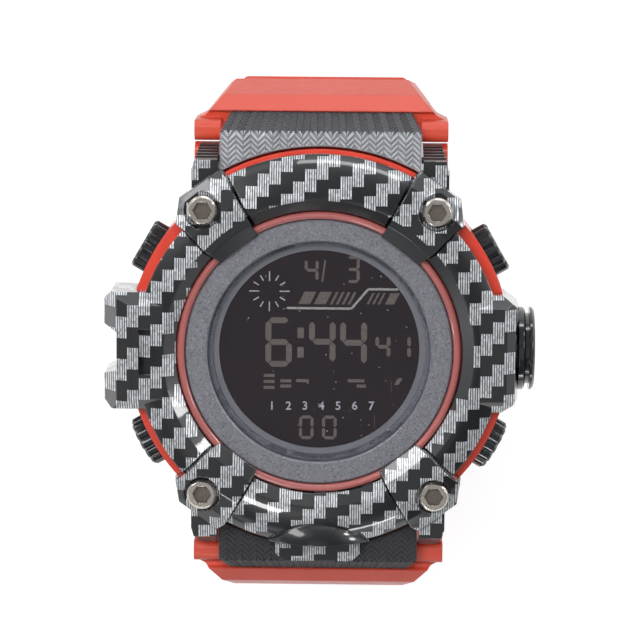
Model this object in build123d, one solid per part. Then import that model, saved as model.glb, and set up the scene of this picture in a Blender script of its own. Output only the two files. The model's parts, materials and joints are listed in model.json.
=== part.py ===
from build123d import *
from math import atan2, cos, degrees, pi, radians, sin, sqrt, tan
import os

os.makedirs("parts", exist_ok=True)

# A digital sports watch. +X points to 3 o'clock, +Y to 12 o'clock and +Z out of the dial.
# The watch stands on its two open strap halves, with the origin on the surface below it.
# Heights in the case are measured up from the back face, which is at case_stand.

# Stand and clearances
case_stand = 58.0
body_gap = 0.3
seam_gap = 0.06
running_gap = 0.08
stem_gap = 0.05
thread_gap = 0.02
overrun = 1.0

# Rings round the dial, each set outside the one before
cavity_radius = 15.4
ring_width = 2.1
ring_outer = cavity_radius + ring_width
accent_gap = 0.1
accent_inner = ring_outer + accent_gap
accent_width = 1.0
accent_outer = accent_inner + accent_width
bezel_gap = 0.15
bezel_inner = accent_outer + bezel_gap
bezel_lip_width = 1.6
bezel_crest_radius = bezel_inner + bezel_lip_width
bezel_face_width = 2.95
bezel_shoulder_radius = bezel_crest_radius + bezel_face_width
bezel_edge_width = 2.7
bezel_radius = bezel_shoulder_radius + bezel_edge_width

# Case body
body_inset = 0.7
body_radius = bezel_radius - body_inset
body_top = 9.4
body_rim_height = 0.5
body_rim_width = 2.0
body_rim_radius = body_radius - body_rim_width
body_bevel_height = 2.4
flank_flat_depth = 0.7
flank_flat_reach = body_radius - flank_flat_depth
shelf_width = 0.5
shelf_radius = bezel_radius + shelf_width
shelf_low = 6.2

# Case back, its seal and its screws
back_margin = 3.9
back_radius = cavity_radius + back_margin
back_thickness = 1.2
back_edge_chamfer = 0.25
back_seat_gap = 0.1
seal_margin = 0.9
seal_radius = cavity_radius + seal_margin
seal_section = 0.35
seal_groove_width = 0.9
seal_groove_depth = 0.75
back_screw_inset = 1.35
back_screw_radius = back_radius - back_screw_inset
back_screw_count = 4
back_screw_head_radius = 1.05
back_screw_head_height = 0.7
back_screw_shank_radius = 0.55
back_screw_length = 4.2
back_screw_slot_width = 0.35
back_screw_slot_depth = 0.35

# Strap hinges and lugs
hinge_inset = 2.0
hinge_reach = shelf_radius - hinge_inset
hinge_height = 3.2
lug_inner = 13.4
lug_thickness = 3.3
lug_outer = lug_inner + lug_thickness
lug_length = 8.5
lug_root = hinge_reach - lug_length
lug_floor = 0.9
lug_end_radius = 2.3
barrel_radius = 2.5
barrel_room = 0.4
bar_radius = 0.75
bar_end_gap = 0.3
bar_half_length = lug_inner - bar_end_gap
bar_tip_radius = 0.45
bar_tip_length = 2.2
bar_tip_reach = bar_half_length + bar_tip_length

# Bezel guard
bezel_lip = 12.1
bezel_crest = 13.5
bezel_shoulder = 12.75
bezel_edge = 10.7
bezel_side_inset = 2.0
bezel_side_radius = bezel_radius - bezel_side_inset
bezel_bottom_inset = 0.5
bezel_bottom_flat = bezel_radius - bezel_bottom_inset
cover_step = 0.1
cover_outer = lug_outer + cover_step
cover_flat_run = 0.6
cover_break = hinge_reach + cover_flat_run
cover_overhang = 2.4
cover_reach = hinge_reach + cover_overhang
cover_end_high = 5.9
cover_end_low = 5.3
cover_taper_run = 3.0
cover_taper = 0.9
cover_gap = 0.1
cover_rib_count = 5
cover_rib_depth = 0.22
cover_rib_width = 0.42
bulge_half_width = 6.9
bulge_radius = 3.6
bulge_height = 10.4
plate_half_width = 5.6
plate_corner = 1.1
plate_length = 3.0
plate_reach = bezel_bottom_flat + plate_length
plate_low = 8.95
plate_thickness = 1.1
plate_end_drop = 0.35

# Side guards at 9 and 3 o'clock
guard_half_height = 7.75
guard_root_inset = 6.4
guard_root = bezel_side_radius - guard_root_inset
guard_floor = 3.0
guard_crest = 13.4
guard_flat_overhang = 0.5
guard_break = bezel_side_radius + guard_flat_overhang
guard_shoulder_drop = 0.9
guard_edge_drop = 3.6
guard_end_slope = 1.6
guard_left_overhang = 4.3
guard_left_reach = bezel_side_radius + guard_left_overhang
guard_left_edge = 1.8
guard_left_corner = 1.0
guard_right_overhang = 2.2
guard_right_reach = bezel_side_radius + guard_right_overhang
guard_right_edge = 0.5
guard_right_corner_x = 2.2
guard_right_corner_y = 1.7
guard_notch_half = 2.5
guard_notch_flare = 0.8
guard_recess_inset = 3.7
guard_recess_low = bezel_side_radius - guard_recess_inset
guard_recess_width = 3.3
guard_recess_high = guard_recess_low + guard_recess_width
guard_recess_half = 3.0
guard_recess_floor = 11.4

# Corner clamps and their screws
clamp_outline_shares = [
    (0.727, 0.650),
    (0.708, 0.777),
    (0.512, 0.919),
    (0.469, 0.892),
    (0.350, 0.687),
    (0.302, 0.598),
    (0.495, 0.452),
    (0.577, 0.508),
    (0.669, 0.606),
]
clamp_seat = 10.6
clamp_tip_inset = 0.5
clamp_tip_radius = ring_outer - clamp_tip_inset
clamp_tip_low = 12.7
clamp_tip_width = 2.2
clamp_crest = 14.25
clamp_top = 14.35
clamp_top_inset = 0.9
clamp_draft = 4.0
clamp_top_radius = bezel_shoulder_radius - clamp_top_inset
clamp_break = 13.55
clamp_break_inset = 1.0
clamp_break_radius = bezel_radius - clamp_break_inset
clamp_overhang = 1.4
clamp_outer_radius = bezel_radius + clamp_overhang
clamp_outer_height = 11.5
screw_x_share = 0.586
screw_y_share = 0.722
screw_x = bezel_radius * screw_x_share
screw_y = bezel_radius * screw_y_share
screw_head_radius = 1.95
screw_head_height = 1.5
screw_head_chamfer = 0.25
screw_seat = 12.35
screw_pocket_room = 0.45
screw_pocket_radius = screw_head_radius + screw_pocket_room
screw_shank_radius = 0.8
screw_hole_gap = 0.1
screw_tip = 3.0
screw_socket_width = 2.2
screw_socket_depth = 0.9

# Glass, rings and dial mask
accent_top = 12.3
ring_top = 11.95
ring_edge_chamfer = 0.2
crystal_inset = 0.8
crystal_radius = cavity_radius - crystal_inset
crystal_seat = 9.9
crystal_top = 11.6
crystal_edge_chamfer = 0.2
ring_ledge_width = 0.6
ring_ledge_radius = crystal_radius - ring_ledge_width
window_inset = 0.8
window_radius = ring_ledge_radius - window_inset
mask_gap = 0.2
mask_radius = cavity_radius - mask_gap
mask_low = 9.2
mask_high = 9.38

# Display and module
module_inset = 0.8
module_radius = cavity_radius - module_inset
lcd_inset = 0.7
lcd_radius = module_radius - lcd_inset
lcd_low = 7.4
lcd_high = 9.1
lcd_step = 0.8
lcd_back_inset = 1.5
lcd_back_half = lcd_radius - lcd_back_inset
zebra_inset = 1.4
zebra_y = lcd_back_half - zebra_inset
zebra_width = 1.5
zebra_end_inset = 3.1
zebra_half_length = zebra_y - zebra_end_inset
light_side_inset = 1.4
light_half_x = zebra_y - light_side_inset
light_end_inset = 1.6
light_half_y = zebra_y - light_end_inset
light_low = 7.05
light_high = 7.35
pocket_gap = 0.1
frame_split = 5.7
board_thickness = 0.8
frame_floor = 2.1
battery_inset = 5.4
battery_radius = cavity_radius - battery_inset
battery_thickness = 2.5
battery_cap_inset = 1.4
battery_cap_radius = battery_radius - battery_cap_inset
battery_cap_height = 0.3
clip_thickness = 0.25
clip_half_width = 2.6
clip_overhang = 2.6
clip_half_length = battery_radius + clip_overhang
clip_foot_radius = 0.6
clip_foot_inset = 0.9
clip_foot_reach = clip_half_length - clip_foot_inset
chip_inset = 2.4
chip_reach = module_radius - chip_inset
chip_radius = 1.5
chip_height = 1.1
can_radius = 0.75
can_length = 5.6
can_inset = 2.3
can_reach = module_radius - can_inset
contact_standout = 0.12
contact_reach = module_radius + contact_standout
contact_thickness = 0.15
contact_half_width = 1.2
contact_height = 2.4
disc_inset = 2.4
disc_radius = module_radius - disc_inset
disc_thickness = 0.2
ceramic_inset = 5.2
ceramic_radius = disc_radius - ceramic_inset
ceramic_thickness = 0.15
disc_spring_inset = 1.0
disc_spring_reach = disc_radius - disc_spring_inset
disc_spring_radius = 0.5
disc_spring_wire = 0.12
disc_spring_turns = 6
disc_spring_room = 0.8

# Pushers at 2, 4, 8 and 10 o'clock
pusher_angle = 30.0
pusher_height = 5.2
pusher_pocket_depth = 1.45
pusher_pocket_floor = body_radius - pusher_pocket_depth
pusher_cap_room = 1.05
pusher_cap_low = pusher_pocket_floor + pusher_cap_room
pusher_cap_length = 2.2
pusher_cap_high = pusher_cap_low + pusher_cap_length
pusher_lobe_ring = 2.6
pusher_lobe_radius = 0.86
pusher_lobe_count = 12
pusher_core_inset = 0.45
pusher_core_radius = pusher_lobe_ring + pusher_core_inset
pusher_pocket_gap = 0.3
pusher_cap_chamfer = 0.3
pusher_stem_radius = 0.8
pusher_stem_inset = 0.3
pusher_stem_tip = cavity_radius + pusher_stem_inset
pusher_bore_radius = 1.5
pusher_wall = 4.1
pusher_bore_floor = cavity_radius + pusher_wall
pusher_clip_depth = 1.6
pusher_clip_shoulder = cavity_radius + pusher_clip_depth
pusher_clip_room_radius = 2.1
pusher_clip_radius = 1.6
pusher_clip_thickness = 0.35
pusher_groove_depth = 0.2
pusher_seal_depth = 1.3
pusher_seal_place = pusher_bore_floor - pusher_seal_depth
pusher_seal_section = 0.25
pusher_spring_radius = 1.14
pusher_spring_wire = 0.17
pusher_spring_turns = 6

# Light button at 3 o'clock
light_button_height = 6.5
light_button_radius = 5.5
light_collar_thickness = 0.9
light_collar_high = guard_right_reach + light_collar_thickness
light_collar_chamfer = 0.25
light_collar_wall = 0.15
light_recess_floor = guard_right_reach + light_collar_wall
light_hub_inset = 0.8
light_hub_radius = light_button_radius - light_hub_inset
light_hub_gap = 0.2
light_hub_room = 0.6
light_hub_low = light_recess_floor + light_hub_room
light_button_room = 0.6
light_button_low = light_collar_high + light_button_room
light_button_thickness = 0.6
light_button_high = light_button_low + light_button_thickness
light_button_chamfer = 0.3
light_button_rim = 1.6
light_button_dish_radius = light_button_radius - light_button_rim
light_button_dish_depth = 0.25
light_stem_radius = 1.1
light_bore_radius = 2.2
light_bore_floor = cavity_radius + pusher_wall
light_clip_room_radius = 2.6
light_clip_radius = 2.1
light_spring_radius = 1.65
light_spring_wire = 0.24
light_spring_turns = 6

# Strap halves
insert_side_gap = 0.2
insert_half_width = lug_inner - insert_side_gap
insert_taper = 1.2
insert_end_half_width = insert_half_width - insert_taper
insert_plateau = 8.6
insert_plateau_run = 4.0
insert_plateau_end = hinge_reach + insert_plateau_run
insert_slope_run = 2.2
insert_foot_reach = insert_plateau_end + insert_slope_run
insert_foot_height = 3.4
insert_thickness = 1.25
insert_shelf_gap = 0.3
brow_lip_run = 0.3
brow_lip_reach = insert_foot_reach + brow_lip_run
brow_lip_height = 4.1
brow_face_run = 2.0
brow_ridge_reach = brow_lip_reach + brow_face_run
brow_ridge_height = 2.5
brow_end_run = 1.7
brow_end_reach = brow_ridge_reach + brow_end_run
brow_end_height = -2.5
arm_low_run = 3.1
arm_low_reach = hinge_reach + arm_low_run
arm_low_height = 0.2
arm_bend_run = 2.4
arm_bend_reach = arm_low_reach + arm_bend_run
arm_bend_height = -2.6
lobe_half_width = 16.75
lobe_near_run = 2.52
lobe_near = hinge_reach + lobe_near_run
lobe_length = 2.68
lobe_far = lobe_near + lobe_length
lobe_top = 5.0
lobe_low = -3.0
lobe_rounding = 1.1
shoulder_inset = 1.45
shoulder_half_width = lobe_half_width - shoulder_inset
shoulder_run = 0.7
shoulder_reach = lobe_far + shoulder_run
brow_side_inset = 3.8
brow_half_width = shoulder_half_width - brow_side_inset
shoulder_taper_start = -4.0
shoulder_taper_end = -20.0
leg_side_inset = 5.1
leg_half_width = shoulder_half_width - leg_side_inset
leg_lean = 7.0
leg_thickness = 3.0
leg_edge_chamfer = 0.45
foot_bend_radius = 15.0
foot_tip_reach = 10.0
foot_tip_round = 6.0
hole_radius = 1.2
hole_count = 9
hole_pitch = 5.5
hole_first = 7.0
slot_half_width = 1.4
slot_rise = 4.5

# Buckle and keeper
buckle_reach = 12.2
buckle_side_gap = 0.4
buckle_arm_inner = leg_half_width + buckle_side_gap
buckle_arm_width = 2.4
buckle_half_width = buckle_arm_inner + buckle_arm_width
buckle_thickness = 2.4
buckle_bar_height = 2.8
buckle_ear_rise = 1.7
buckle_corner = 1.6
buckle_notch_depth = 0.75
buckle_notch_half = 1.3
pin_radius = 0.7
pin_end_inset = 0.3
pin_half_length = buckle_half_width - pin_end_inset
strap_end_radius = 1.9
tongue_hub_radius = 1.6
tongue_half_width = 1.1
tongue_thickness = 1.1
tongue_overhang = 0.5
keeper_rise = 10.81
keeper_length = 6.5
keeper_wall = 1.3
keeper_side_gap = 0.35
keeper_room = 3.5
keeper_corner = 0.9

BASE = (Align.CENTER, Align.CENTER, Align.MIN)
corners = {
    "upper_right": (1, 1),
    "upper_left": (-1, 1),
    "lower_left": (-1, -1),
    "lower_right": (1, -1),
}
board_low = frame_split - board_thickness
lean = radians(leg_lean)
leg_down = Vector(-sin(lean), -cos(lean))
leg_out = Vector(cos(lean), -sin(lean))


def post(radius, low, high, x=0, y=0):
    """An upright cylinder between two heights."""
    return Pos(x, y, low) * Cylinder(radius, high - low, align=BASE)


def ring(outer, inner, low, high):
    """A flat ring between two heights."""
    return post(outer, low, high) - post(inner, low, high)


def block(x_range, y_range, z_range):
    """A box between three pairs of planes."""
    ranges = (x_range, y_range, z_range)
    middle = [(low + high) / 2 for low, high in ranges]
    size = [high - low for low, high in ranges]
    return Pos(*middle) * Box(*size)


def rod(radius, near, far, y=0, z=0):
    """A cylinder along X."""
    return Pos(near, y, z) * Rot(0, 90, 0) * Cylinder(radius, far - near, align=BASE)


def prism(points, low, high):
    """A plan outline raised between two heights."""
    face = make_face(Polyline(*points, close=True))
    return Pos(0, 0, low) * extrude(face, amount=high - low, dir=(0, 0, 1))


def side_slab(edges, near, far):
    """An outline seen from 3 o'clock, in Y and Z, carried along X."""
    face = Plane.YZ * make_face(edges)
    return Pos(near, 0, 0) * extrude(face, amount=far - near, dir=(1, 0, 0))


def outline(*points):
    """Straight edges round a closed outline."""
    return Polyline(*points, close=True)


def front_slab(points, near, far):
    """An outline seen from 6 o'clock, in X and Z, carried along Y."""
    face = Plane.XZ * make_face(outline(*points))
    return Pos(0, near, 0) * extrude(face, amount=far - near, dir=(0, 1, 0))


def turned(edges):
    """An outline in radius and height turned about the dial's axis."""
    return revolve(Plane.XZ * make_face(edges), axis=Axis.Z)


def coil(radius, wire, turns, low, high):
    """A compression spring on the Z axis between two heights."""
    height = high - low - 2 * wire
    path = Helix(pitch=height / turns, height=height, radius=radius)
    start = Plane(origin=path @ 0, z_dir=path % 0)
    return Pos(0, 0, low + wire) * sweep(start * Circle(wire), path=path)


def to_corner(shape, corner):
    """Mirror a piece of the upper right quarter to another quarter."""
    side, end = corner
    if side < 0:
        shape = mirror(shape, about=Plane.YZ)
    if end < 0:
        shape = mirror(shape, about=Plane.XZ)
    return shape


def on_pusher_axis(shape):
    """Turn a piece that lies along X onto the axis of the upper right pusher."""
    return Rot(0, 0, pusher_angle) * Pos(0, 0, pusher_height) * shape


def in_every_corner(shape):
    """Copies of one piece in all four quarters."""
    return [to_corner(shape, corner) for corner in corners.values()]


def back_screw_places():
    """Plan places of the case back screws."""
    first = pi / back_screw_count
    turns = [first + 2 * pi * k / back_screw_count for k in range(back_screw_count)]
    return [(back_screw_radius * cos(a), back_screw_radius * sin(a)) for a in turns]


def clamp_points(grow=0):
    """Plan outline of the upper right clamp, grown by a clearance."""
    points = [(bezel_radius * x, bezel_radius * y) for x, y in clamp_outline_shares]
    face = make_face(outline(*points))
    if grow:
        face = offset(face, amount=grow, kind=Kind.INTERSECTION)
    return face


def clamp_prism(low, high, grow=0):
    """The clamp outline raised between two heights."""
    return Pos(0, 0, low) * extrude(clamp_points(grow), amount=high - low, dir=(0, 0, 1))


def button_bore(stem, bore, bore_floor, room, shoulder, outside):
    """The stepped hole that a button's stem, spring, seal and clip need, along X."""
    hole = rod(stem + stem_gap, cavity_radius - overrun, outside)
    hole += rod(bore, bore_floor, outside)
    hole += rod(room, cavity_radius - overrun, shoulder)
    seal_near = pusher_seal_place - pusher_seal_section - thread_gap
    seal_far = pusher_seal_place + pusher_seal_section + thread_gap
    hole += rod(stem + 2 * pusher_seal_section + thread_gap, seal_near, seal_far)
    return hole


def case_body():
    """The red resin case with its lugs."""
    seat_radius = back_radius + back_seat_gap
    body = turned(outline(
        (cavity_radius, back_thickness),
        (seat_radius, back_thickness),
        (seat_radius, body_rim_height),
        (body_rim_radius, body_rim_height),
        (body_radius, body_bevel_height),
        (body_radius, body_top),
        (cavity_radius, body_top),
    ))
    shelf = ring(shelf_radius, body_radius - overrun, shelf_low, body_top)
    body += shelf & block((-lug_inner, lug_inner), (0, shelf_radius), (0, body_top))
    for end in (1, -1):
        room_near = end * (hinge_reach - barrel_radius - barrel_room)
        room_far = end * (shelf_radius + overrun)
        span = (min(room_near, room_far), max(room_near, room_far))
        body -= block((-lug_inner, lug_inner), span, (-overrun, shelf_low))
    lug_top = hinge_height + lug_end_radius
    lug = block((lug_inner, lug_outer), (lug_root, hinge_reach), (lug_floor, lug_top))
    lug += rod(lug_end_radius, lug_inner, lug_outer, hinge_reach, hinge_height)
    lug -= rod(bar_tip_radius + stem_gap, 0, bar_tip_reach + stem_gap, hinge_reach, hinge_height)
    lug -= post(seat_radius, -overrun, back_thickness)
    for copy in in_every_corner(lug):
        body += copy
    flat = block((flank_flat_reach, shelf_radius), (-guard_half_height, guard_half_height),
                 (0, body_top))
    body -= flat
    body -= mirror(flat, about=Plane.YZ)
    groove_half = seal_groove_width / 2
    groove_top = back_thickness + seal_groove_depth
    body -= ring(seal_radius + groove_half, seal_radius - groove_half, back_thickness, groove_top)
    for x, y in back_screw_places():
        body -= post(back_screw_shank_radius + thread_gap, 0, back_screw_length + thread_gap, x, y)
    pocket_radius = pusher_lobe_ring + pusher_lobe_radius + pusher_pocket_gap
    bore = button_bore(pusher_stem_radius, pusher_bore_radius, pusher_bore_floor,
                       pusher_clip_room_radius, pusher_clip_shoulder, shelf_radius)
    bore += rod(pocket_radius, pusher_pocket_floor, shelf_radius + overrun)
    for copy in in_every_corner(on_pusher_axis(bore)):
        body -= copy
    light_bore = button_bore(light_stem_radius, light_bore_radius, light_bore_floor,
                             light_clip_room_radius, pusher_clip_shoulder, shelf_radius)
    body -= Pos(0, 0, light_button_height) * light_bore
    screw_bore = post(screw_shank_radius + thread_gap, screw_tip - thread_gap, body_top + overrun,
                      screw_x, screw_y)
    for copy in in_every_corner(screw_bore):
        body -= copy
    return body


def guard(reach, edge, corner_x, corner_y):
    """A side guard at 3 o'clock, outside the ring and the body."""
    shoulder = reach - edge
    points = [
        (guard_root, -guard_half_height),
        (reach - corner_x, -guard_half_height),
        (reach, -guard_half_height + corner_y),
        (reach, guard_half_height - corner_y),
        (reach - corner_x, guard_half_height),
        (guard_root, guard_half_height),
    ]
    profile = [
        (guard_root, guard_floor),
        (guard_root, guard_crest),
        (guard_break, guard_crest),
        (shoulder, guard_crest - guard_shoulder_drop),
        (reach, guard_crest - guard_edge_drop),
        (reach, guard_floor),
    ]
    shape = prism(points, guard_floor, guard_crest)
    shape &= front_slab(profile, -guard_half_height, guard_half_height)
    for end in (1, -1):
        edge_place = (guard_break, end * (guard_half_height - guard_end_slope), guard_crest)
        above = Plane(origin=edge_place, z_dir=(0, end, 1))
        shape -= above * Box(reach, reach, reach, align=BASE)
    core = post(body_radius + cover_gap, 0, body_top) & block(
        (-flank_flat_reach - cover_gap, flank_flat_reach + cover_gap),
        (-body_radius - overrun, body_radius + overrun),
        (0, body_top),
    )
    return shape - core - post(bezel_crest_radius, body_top, clamp_top)


def lug_cover():
    """The ribbed cover over the upper right lug."""
    lug_top = hinge_height + lug_end_radius
    cover = side_slab(outline(
        (lug_root, lug_top + cover_gap),
        (hinge_reach, lug_top + cover_gap),
        (cover_reach, cover_end_low),
        (cover_reach, cover_end_high),
        (cover_break, clamp_seat),
        (lug_root, clamp_seat),
    ), lug_inner, cover_outer)
    cover &= prism([
        (lug_inner, lug_root),
        (cover_outer, lug_root),
        (cover_outer, cover_reach - cover_taper_run),
        (cover_outer - cover_taper, cover_reach),
        (lug_inner, cover_reach),
    ], 0, clamp_seat)
    slope = degrees(atan2(clamp_seat - cover_end_high, cover_reach - cover_break))
    run = sqrt((clamp_seat - cover_end_high) ** 2 + (cover_reach - cover_break) ** 2)
    for k in range(cover_rib_count):
        place = run * (k + 1) / (cover_rib_count + 1)
        rib = Box(cover_outer - lug_inner + overrun, cover_rib_width, 2 * cover_rib_depth)
        middle = (lug_inner + cover_outer) / 2
        cover -= Pos(middle, cover_reach, cover_end_high) * Rot(-slope, 0, 0) * Pos(0, -place, 0) * rib
    cover -= rod(lug_end_radius + cover_gap, 0, cover_outer, hinge_reach, hinge_height)
    return cover - post(body_radius + cover_gap, 0, body_top)


def bezel_guard():
    """The carbon print bezel with its side guards, lug covers and bare name plate."""
    crown = Polyline(
        (bezel_radius, bezel_edge),
        (bezel_radius, body_top),
        (bezel_inner, body_top),
        (bezel_inner, bezel_lip),
        (bezel_crest_radius, bezel_crest),
    )
    crest = ThreePointArc(
        (bezel_crest_radius, bezel_crest),
        (bezel_shoulder_radius, bezel_shoulder),
        (bezel_radius, bezel_edge),
    )
    bezel = turned(crown + crest)
    ends = block((-cover_outer, cover_outer), (-bezel_bottom_flat, bezel_radius), (0, clamp_top))
    bezel &= post(bezel_side_radius, 0, clamp_top) + (post(bezel_radius, 0, clamp_top) & ends)
    seat = clamp_prism(body_top, clamp_seat) - post(bezel_inner, 0, clamp_top)
    for part in in_every_corner(seat) + in_every_corner(lug_cover()):
        bezel += part
    right = guard(guard_right_reach, guard_right_edge, guard_right_corner_x, guard_right_corner_y)
    left = guard(guard_left_reach, guard_left_edge, guard_left_corner, guard_left_corner)
    notch_root = guard_left_reach - guard_left_edge
    notch_mouth = guard_notch_half + guard_notch_flare
    left -= prism([
        (notch_root, -guard_notch_half),
        (guard_left_reach, -notch_mouth),
        (guard_left_reach + overrun, -notch_mouth),
        (guard_left_reach + overrun, notch_mouth),
        (guard_left_reach, notch_mouth),
        (notch_root, guard_notch_half),
    ], 0, clamp_top)
    left -= block((guard_recess_low, guard_recess_high), (-guard_recess_half, guard_recess_half),
                  (guard_recess_floor, clamp_top))
    bezel += right
    bezel += mirror(left, about=Plane.YZ)
    bezel += bottom_bulge()
    bezel += name_plate()
    pocket = clamp_prism(clamp_seat, clamp_top + overrun, seam_gap)
    hole = post(screw_shank_radius + screw_hole_gap, 0, clamp_top, screw_x, screw_y)
    for part in in_every_corner(pocket) + in_every_corner(hole):
        bezel -= part
    light_bore = rod(light_bore_radius, guard_root, guard_right_reach + overrun)
    bezel -= Pos(0, 0, light_button_height) * light_bore
    return bezel


def bottom_bulge():
    """The half oval swelling on the bezel at 6 o'clock."""
    arc = ThreePointArc((-bulge_half_width, 0), (0, bulge_radius), (bulge_half_width, 0))
    spindle = revolve(make_face(arc + Line((bulge_half_width, 0), (-bulge_half_width, 0))), axis=Axis.X)
    spindle = Pos(0, -bezel_bottom_flat, bulge_height) * spindle
    return spindle & block(
        (-bulge_half_width, bulge_half_width),
        (-bezel_bottom_flat, -bezel_inner),
        (bulge_height - overrun, clamp_top),
    )


def name_plate():
    """The bare plate below the bulge, over the lower strap insert."""
    top = plate_low + plate_thickness
    root = bezel_bottom_flat - overrun
    plate = side_slab(outline(
        (-root, body_top),
        (-root, bezel_edge),
        (-bezel_bottom_flat, bezel_edge),
        (-plate_reach, top - plate_end_drop),
        (-plate_reach, plate_low),
        (-bezel_bottom_flat - overrun, plate_low),
        (-bezel_bottom_flat - overrun, body_top),
    ), -plate_half_width, plate_half_width)
    return plate & prism([
        (-plate_half_width, -root),
        (-plate_half_width, -plate_reach + plate_corner),
        (-plate_half_width + plate_corner, -plate_reach),
        (plate_half_width - plate_corner, -plate_reach),
        (plate_half_width, -plate_reach + plate_corner),
        (plate_half_width, -root),
    ], plate_low, bezel_edge)


def corner_clamp():
    """The raised clamp over the upper right corner of the bezel."""
    height = clamp_top - clamp_seat
    shape = extrude(clamp_points(), amount=height, dir=(0, 0, 1), taper=clamp_draft)
    shape = Pos(0, 0, clamp_seat) * shape
    inner = bezel_inner + seam_gap
    shape &= turned(outline(
        (clamp_tip_radius, clamp_tip_low),
        (clamp_tip_radius + clamp_tip_width, clamp_crest),
        (clamp_top_radius, clamp_top),
        (clamp_break_radius, clamp_break),
        (clamp_outer_radius, clamp_outer_height),
        (clamp_outer_radius, clamp_seat),
        (inner, clamp_seat),
        (inner, clamp_tip_low),
    ))
    shape -= post(screw_pocket_radius, screw_seat, clamp_top + overrun, screw_x, screw_y)
    shape -= post(screw_shank_radius + screw_hole_gap, clamp_seat - overrun, clamp_top, screw_x, screw_y)
    return shape


def bezel_screw():
    """The upper right hex socket screw."""
    top = screw_seat + screw_head_height
    head = post(screw_head_radius, screw_seat, top, screw_x, screw_y)
    head = chamfer(head.edges().group_by(Axis.Z)[-1], screw_head_chamfer)
    hexagon = RegularPolygon(screw_socket_width / 2, 6, major_radius=False)
    socket = extrude(hexagon, amount=overrun + screw_socket_depth)
    head -= Pos(screw_x, screw_y, top - screw_socket_depth) * socket
    return head + post(screw_shank_radius, screw_tip, screw_seat, screw_x, screw_y)


def accent_ring():
    """The thin red ring inside the bezel, rounded on top."""
    middle = (accent_inner + accent_outer) / 2
    rounding = (accent_outer - accent_inner) / 2
    return turned(
        Polyline(
            (accent_outer, accent_top - rounding),
            (accent_outer, body_top),
            (accent_inner, body_top),
            (accent_inner, accent_top - rounding),
        )
        + ThreePointArc(
            (accent_inner, accent_top - rounding),
            (middle, accent_top),
            (accent_outer, accent_top - rounding),
        )
    )


def crystal_ring():
    """The matt grey ring that carries the glass."""
    inner = crystal_radius + stem_gap
    return turned(outline(
        (ring_ledge_radius, body_top),
        (ring_outer, body_top),
        (ring_outer, ring_top - ring_edge_chamfer),
        (ring_outer - ring_edge_chamfer, ring_top),
        (inner + ring_edge_chamfer, ring_top),
        (inner, ring_top - ring_edge_chamfer),
        (inner, crystal_seat),
        (ring_ledge_radius, crystal_seat),
    ))


def crystal():
    """The resin glass."""
    glass = post(crystal_radius, crystal_seat, crystal_top)
    return chamfer(glass.edges().group_by(Axis.Z)[-1], crystal_edge_chamfer)


def dial_mask():
    """The printed border round the display window."""
    return ring(mask_radius, window_radius, mask_low, mask_high)


def lcd_panel():
    """Two bonded glass plates, the lower one trimmed to its contact edges."""
    lower = post(lcd_radius, lcd_low, lcd_low + lcd_step)
    trim = block((-lcd_radius, lcd_radius), (-lcd_back_half, lcd_back_half),
                 (lcd_low, lcd_low + lcd_step))
    return (lower & trim) + post(lcd_radius, lcd_low + lcd_step, lcd_high)


def zebra_span(end):
    """The Y range of a contact strip at one end of the display."""
    near = end * (zebra_y - zebra_width / 2)
    far = end * (zebra_y + zebra_width / 2)
    return (min(near, far), max(near, far))


def zebra_strips():
    """The two rubber contact strips between board and display."""
    half = (-zebra_half_length, zebra_half_length)
    return [block(half, zebra_span(end), (frame_split, lcd_low)) for end in (1, -1)]


def backlight():
    """The light panel behind the display."""
    return block((-light_half_x, light_half_x), (-light_half_y, light_half_y), (light_low, light_high))


def module_frame_upper():
    """The frame that holds the display over the board."""
    frame = post(module_radius, frame_split, mask_low)
    frame -= post(lcd_radius + pocket_gap, lcd_low, mask_low + overrun)
    room_x = light_half_x + pocket_gap
    room_y = light_half_y + pocket_gap
    frame -= block((-room_x, room_x), (-room_y, room_y), (light_low, lcd_low))
    half = zebra_half_length + pocket_gap
    for end in (1, -1):
        low, high = zebra_span(end)
        frame -= block((-half, half), (low - pocket_gap, high + pocket_gap),
                       (frame_split - overrun, lcd_low))
    return frame


def circuit_board():
    """The round circuit board."""
    return post(module_radius, board_low, frame_split)


def chip():
    """The sealed chip under the board."""
    blob = post(chip_radius, board_low - chip_height, board_low, 0, -chip_reach)
    return chamfer(blob.edges().group_by(Axis.Z)[0], chip_height / 3)


def quartz_can():
    """The quartz crystal in its can under the board."""
    return rod(can_radius, -can_length / 2, can_length / 2, can_reach, board_low - can_radius)


def module_frame_lower():
    """The frame round the battery."""
    frame = post(module_radius, frame_floor, board_low)
    frame -= post(battery_radius + pocket_gap, frame_floor - overrun, board_low + overrun)
    frame -= post(chip_radius + pocket_gap, board_low - chip_height - pocket_gap, board_low + overrun,
                  0, -chip_reach)
    half = can_length / 2 + pocket_gap
    reach = can_radius + pocket_gap
    frame -= block((-half, half), (can_reach - reach, can_reach + reach),
                   (board_low - 2 * reach, board_low + overrun))
    frame -= post(disc_spring_room, frame_floor - overrun, board_low + overrun, disc_spring_reach, 0)
    return frame


def battery():
    """The coin cell."""
    low = frame_floor
    high = low + battery_thickness
    return post(battery_radius, low, high - battery_cap_height) + post(battery_cap_radius, low, high)


def battery_clip():
    """The spring steel strip that holds the coin cell in."""
    strip = block((-clip_half_width, clip_half_width), (-clip_half_length, clip_half_length),
                  (frame_floor - clip_thickness, frame_floor))
    for end in (1, -1):
        strip -= post(clip_foot_radius, 0, board_low, 0, end * clip_foot_reach)
    return strip


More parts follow.
